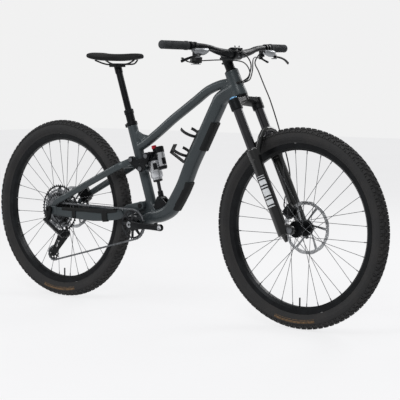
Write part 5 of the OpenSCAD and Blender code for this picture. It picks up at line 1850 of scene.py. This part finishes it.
@dataclass
class Cockpit(Assembly):
    """Handlebar, stem, grips, brakes, shifter and dropper remote.

    Attributes:
        centre: Middle of the bar in the stem's clamp.
        grip_length: Length of a grip.
    """

    centre: Point = (298.95, 0.0, 1017.97)
    grip_length: float = 132.0
    rows: tuple[tuple[float, float, float, float], ...] = (
        (0, 20, 0, 34.6), (0, 40, 0, 32.6), (-2, 58, 1, 30.6), (-7, 105, 9, 25.6), (-12, 150, 20, 22.2),
        (-20, 215, 25, 22.2), (-42, 379, 26.9, 22.0),
    )

    def along_bar(self, hand: int, inward: float) -> Vector:
        """Returns a point on the bar's axis, measured inwards from its end on one side."""
        knee = Vector(self.centre) + Vector((-20, 215, 25))
        end = Vector(self.centre) + Vector((-43, 388, 27))
        p = end - (end - knee).normalized() * inward
        return Vector((p.x, hand * p.y, p.z))

    def build(self) -> None:
        """Builds the bar first and clamps the rest to it."""
        cx, _, cz = self.centre
        half = [[cx + dx, y, cz + dz, d, d] for dx, y, dz, d in self.rows]
        rows = [[r[0], -r[1], *r[2:]] for r in reversed(half)] + half
        bar = sweep("handlebar_tube", rows, BLACK_ANODISED, 40, side=(1.0, 0.0, 0.0), steps=8)
        self.keep(bar, "steering", "black_metal", "handlebar")
        self.cast("stem_forging", "steering", "black_metal", ["stem", "stem_faceplate"], 1.0, 5, BLACK_ANODISED)
        self.build_stem_bolts()
        self.keep(joined("grip_pair", [self.grip(1), self.grip(-1)]), "steering", "grip_rubber", "grips")
        brakes = melted("brake_reservoirs", ["brake_bodies"], 0.8, 4, GREY_ALLOY)
        brakes.data.materials.append(BLACK_ANODISED.material())
        for face in brakes.data.polygons:
            spot = face.center * PER_M
            knee, end = self.along_bar(1, 172.0), self.along_bar(1, 0.0)
            way = (end - knee).normalized()
            off = Vector((spot.x, abs(spot.y), spot.z)) - knee
            if (off - way * off.dot(way)).length < 17.6:
                face.material_index = 1
        self.keep(brakes, "steering", "grey_alloy", "brake_bodies")
        for side in ("left", "right"):
            self.cast(
                f"brake_lever_{side}_blade", f"brake_lever_{side}", "black_metal", [f"brake_lever_{side}"], 0.8,
                4, BLACK_ANODISED
            )
        self.cast("shifter_housing", "steering", "black_plastic", ["shifter_pod"], 0.8, 4, BLACK_PLASTIC)
        self.cast(
            "shift_paddle_blade", "shift_paddle", "black_plastic", ["shift_paddle"], 0.7, 4, BLACK_PLASTIC
        )
        self.cast("dropper_remote_clamp", "steering", "black_metal", ["dropper_remote"], 0.7, 4, BLACK_ANODISED)
        self.cast(
            "dropper_lever_blade", "dropper_lever", "black_metal", ["dropper_lever"], 0.7, 4, BLACK_ANODISED
        )
        self.build_pod_ring()

    def build_stem_bolts(self) -> None:
        """Builds the four faceplate bolts."""
        bolts = []
        c = Vector(self.centre)
        for y in (-13, 13):
            for up in (-21, 21):
                spot = c + AHEAD * 18.0 + UP * up + Vector((0, y, 0))
                bolts.append(cap_bolt("faceplate_bolt", toward(spot, AHEAD, UP), 3.4, 3.0, DARK_STEEL))
        self.keep(joined("stem_bolts", bolts), "steering", "dark_steel")

    def grip(self, hand: int) -> bpy.types.Object:
        """Turns one grip: clamp flange, ribbed pad, plain pad and round end."""
        end = self.along_bar(hand, 0.0)
        way = self.along_bar(hand, self.grip_length) - end
        profile: list[Flat] = [(0, 0.3), (10, 0.5), (14, 2.5), (15.8, 6), (15.9, 9), (15.2, 11)]
        u = 12.0
        while u < 116:
            ridge = 15.3 + 0.55 * math.sin(math.pi * u / self.grip_length)
            profile += [(ridge, u), (ridge, u + 1.7), (ridge - 1.1, u + 2.1), (ridge - 1.1, u + 3.2)]
            u += 3.7
        profile += [
            (15.2, 118), (15.2, 120), (16.9, 120.5), (16.9, 131), (16, 132), (11.2, 132), (11.2, 6), (0, 5.5)
        ]
        return lathe("grip", profile, GRIP_GREY, toward(end, way, Vector((0, 0, 1))), 48)

    def build_pod_ring(self) -> None:
        """Turns the lighter ring on the shifter's cover."""
        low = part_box("shifter_pod")[0].z * PER_M
        place = toward(Vector((282.35, -217.49, low + 1.2)), Vector((0, 0, -1)), Vector((1, 0, 0)))
        profile = [(13, -1.2), (18.2, -1.2), (18.2, 0.4), (17.4, 1.0), (13.8, 1.0), (13, 0.4)]
        ring = lathe("pod_ring", profile, GREY_PLASTIC, place, 48)
        self.keep(ring, "steering", "grey_alloy")


@dataclass
class Cables(Assembly):
    """The four held hoses."""

    front: tuple[Point, ...] = (
        (37, 120, 684), (50, 100, 634), (59, 88, 571), (66, 80, 510), (62, 78, 420), (49, 84, 331),
        (38, 90, 274), (20, 94, 215), (-2, 92, 185), (-20, 76, 150), (-23, 50, 114),
    )
    rear_brake: tuple[Point, ...] = (
        (60, -110, 712), (82, -50, 706), (90, -6, 686), (84, 16, 650), (64, 6, 612)
    )
    shift: tuple[Point, ...] = ((50, -140, 682), (72, -80, 672), (84, -24, 656), (78, 0, 622), (60, -10, 596))
    dropper: tuple[Point, ...] = ((40, 150, 700), (64, 90, 690), (80, 44, 668), (74, 28, 632), (56, 20, 604))

    def hang(self, line: bpy.types.Object, first: str, second: str, start: Vector, end: Vector) -> None:
        """Hides the CAD hoses, bakes a hose's place into its mesh and keeps its name."""
        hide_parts("control_cables")
        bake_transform(line)
        self.pieces.append(line.name)

    def port(self, angle: float, height: float, out: float) -> Vector:
        """Returns a point outside the head tube where a hose enters it."""
        a = math.radians(angle)
        return steer_point((HEAD_TUBE_R + out) * math.cos(a), (HEAD_TUBE_R + out) * math.sin(a), height)

    def build(self) -> None:
        """Follows each CAD hose with a smooth one."""
        cad = islands(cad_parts["control_cables"])
        bar = Cockpit()
        brake_at = bar.along_bar(1, 148.0)
        brake_end = brake_at + Vector((30, -62, -16))
        way = Vector((-4, -28, 5)).normalized()
        front_end = Vector((605, 52, 374)) + 119.0 * Vector((-0.788, 0, 0.616)) - Vector((6, 0, 8))
        route = [brake_end + way * 0.4, brake_end + way * 14, *(steer_point(*p) for p in self.front), front_end]
        line = hose("front_brake_hose", route, 5.0, HOSE)
        self.hang(line, "steering", "fork_lowers", steer_point(60, 79, 470), steer_point(20, 92, 235))
        flip = Vector((brake_end.x, -brake_end.y, brake_end.z))
        flip_way = Vector((way.x, -way.y, way.z))
        starts = {
            "rear_brake_hose": (
                [flip + flip_way * 0.4, flip + flip_way * 14], self.rear_brake, (0.0, 604.0), 5.0
            ),
            "shift_cable_housing": ([self.first_point(cad, -150.0)], self.shift, (-36.0, 602.0), 4.4),
            "dropper_cable_housing": ([self.first_point(cad, 150.0)], self.dropper, (36.0, 603.0), 4.4),
        }
        for name, (first, rows, (angle, height), size) in starts.items():
            route = [
                *first, *(steer_point(*p) for p in rows), self.port(angle, height, 16),
                self.port(angle, height, 0.2)
            ]
            line = hose(name, route, size, HOSE)
            self.hang(line, "frame", "steering", self.port(angle, height, 4), steer_point(*rows[2]))
        log.info("hoses: %d", len(self.pieces))

    def first_point(self, cad: list[list[Vector]], y: float) -> Vector:
        """Returns the outer end of the CAD hose that reaches furthest out on one side without reaching the brakes."""
        best = [g for g in cad if (min(p.y for p in g) < y if y < 0 else max(p.y for p in g) > y)]
        if y < 0:
            group = min(best, key=lambda g: min(p.y for p in g))
            edge = min(p.y for p in group)
            return mean([p for p in group if p.y < edge + 2.0])
        group = max(best, key=lambda g: max(p.y for p in g) if min(p.z for p in g) > 800 else -1e9)
        edge = max(p.y for p in group)
        return mean([p for p in group if p.y > edge - 2.0])


@dataclass
class Seat(Assembly):
    """Saddle and dropper post.

    Attributes:
        tip: The nose's place along X.
        level: Height of the saddle's top.
        rows: Distance behind the tip, height of the middle, width and depth.
    """

    tip: float = -168.8
    level: float = 1022.7
    rows: tuple[tuple[float, float, float, float], ...] = (
        (0, -14, 18, 12), (6, -12, 32, 22), (50, -14, 42, 30), (100, -16, 56, 32), (150, -16, 88, 32),
        (195, -14, 126, 32), (225, -10, 144, 30), (244, -7, 130, 26), (255, -6, 96, 20), (260, -6, 60, 12),
    )

    def build(self) -> None:
        """Builds the padded top and the post."""
        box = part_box("saddle")
        top = self.padded_top(box)
        self.keep(top, "dropper_post", "saddle_cover", "saddle")
        self.cast("dropper_post_inner", "dropper_post", "black_metal", ["dropper_post"], 0.9, 4, BLACK_ANODISED)

    def padded_top(self, box: tuple[Vector, Vector]) -> bpy.types.Object:
        """Skins the saddle: a crowned pad with a shallow channel and turned edges."""
        path = spline(self.rows, 8)
        points: list[Vector] = []
        sides = 56
        high = box[1] * PER_M
        for back, mid, width, depth in path:
            for k in range(sides):
                a = 2 * math.pi * k / sides
                c, s = math.cos(a), math.sin(a)
                y = width / 2 * math.copysign(abs(c) ** 0.85, c)
                z = mid + depth / 2 * math.copysign(abs(s) ** (0.8 if s > 0 else 0.55), s)
                if s > 0:
                    fade = max(0.0, 1 - abs(back - 140) / 105)
                    z -= 3.2 * fade * math.exp(-((y / 7.5) ** 2))
                else:
                    z += 3.0 * (1 - abs(c))
                points.append(Vector((self.tip - back, y, min(self.level + z, high.z - 0.2))))
        pad = mesh_object("saddle_top", points, tube_faces(len(path), sides), SADDLE_COVER)
        return reskinned(outward(pad, 1e-7), 2.2, 8, SADDLE_COVER)


class Carried(Assembly):
    """The CAD nodes that keep their shape and get their real finish."""

    def build(self) -> None:
        """Puts a finish on every CAD node that is still shown."""
        for name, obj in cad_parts.items():
            finish = CAD_FINISHES.get(name, BLACK_ANODISED)
            made = finish.material()
            if not obj.material_slots:
                obj.data.materials.append(made)
            for slot in obj.material_slots:
                slot.material = made
        log.info("finishes on %d CAD nodes", len(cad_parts))


@dataclass
class Studio:
    """Floor, lights and camera.

    Attributes:
        place: The camera's position.
        yaw: Turn about the vertical in degrees; 0 looks along +Y.
        pitch: Degrees that it looks down.
        roll: Degrees that the picture leans.
        lens: Focal length for a 36 mm sensor.
    """

    place: Point = (3348.17, -4044.86, 926.30)
    yaw: float = 38.497
    pitch: float = 5.245
    roll: float = 0.206
    lens: float = 119.748

    def build(self) -> None:
        """Sets the floor, the lights and the camera."""
        reach = 14000.0
        floor = mesh_object(
            "studio_floor", [(-reach, -reach, 0), (reach, -reach, 0), (reach, reach, 0), (-reach, reach, 0)],
            [(0, 1, 2, 3)], STUDIO_PAPER
        )
        paper = next(n for n in floor.data.materials[0].node_tree.nodes if n.type == "BSDF_PRINCIPLED")
        paper.inputs["Emission Color"].default_value = linear("f1f1f2")
        paper.inputs["Emission Strength"].default_value = 0.87
        world = bpy.data.worlds.new("studio_air")
        bpy.context.scene.world = world
        world.use_nodes = True
        sky = world.node_tree.nodes["Background"]
        sky.inputs["Color"].default_value = (1.0, 1.0, 1.0, 1.0)
        seen = add(world.node_tree, "ShaderNodeLightPath").outputs["Is Camera Ray"]
        level = add(world.node_tree, "ShaderNodeMapRange", {"Value": seen, "To Min": 0.36, "To Max": 0.88})
        world.node_tree.links.new(level.outputs["Result"], sky.inputs["Strength"])
        self.lamp("key_panel", (900, -3000, 3800), (0, 0, 500), 1600, 95)
        self.lamp("fill_panel", (-3800, -2200, 2200), (0, 0, 500), 1500, 40)
        self.lamp("back_panel", (600, 3800, 3000), (0, 0, 500), 2000, 75)
        self.lamp("top_panel", (0, 0, 4200), (0, 0, 0), 3000, 50)
        data = bpy.data.cameras.new("camera")
        data.lens = self.lens
        data.sensor_width = 36.0
        data.clip_end = 100.0
        camera = placed("camera", data)
        yaw, pitch = math.radians(self.yaw), math.radians(self.pitch)
        turn = Matrix.Rotation(yaw, 4, "Z") @ Matrix.Rotation(math.pi / 2 - pitch, 4, "X") @ Matrix.Rotation(
            math.radians(self.roll), 4, "Z"
        )
        camera.matrix_world = Matrix.Translation(Vector(self.place) * MM) @ turn
        bpy.context.scene.camera = camera
        bpy.context.scene.view_settings.view_transform = "Standard"

    def lamp(self, name: str, place: Point, target: Point, size: float, watts: float) -> None:
        """Hangs one soft square light that faces a target."""
        data = bpy.data.lights.new(name, "AREA")
        data.size = size * MM
        data.energy = watts
        lamp = placed(name, data)
        spot = Vector(place) * MM
        lamp.location = spot
        lamp.rotation_euler = (Vector(target) * MM - spot).to_track_quat("-Z", "Y").to_euler()


def main() -> None:
    """Builds the bike in order."""
    logging.basicConfig(level=logging.INFO, format="%(name)s %(message)s")
    Studio().build()
    Carried().build()
    sections: list[Assembly] = [
        FrontFrame(),
        RearFrame(),
        Shock(),
        Fork(),
        Wheel(end="front", axle=FRONT_AXLE, rotor_y=40.0, rotor_radius=100.0),
        Wheel(end="rear", axle=REAR_AXLE, rotor_y=58.0, rotor_radius=90.0),
        Drivetrain(),
        Cockpit(),
        Cables(),
        Seat(),
    ]
    for section in sections:
        section.build()
        log.info("%s: %d pieces", type(section).__name__, len(section.pieces))


if __name__ == "__main__":
    main()
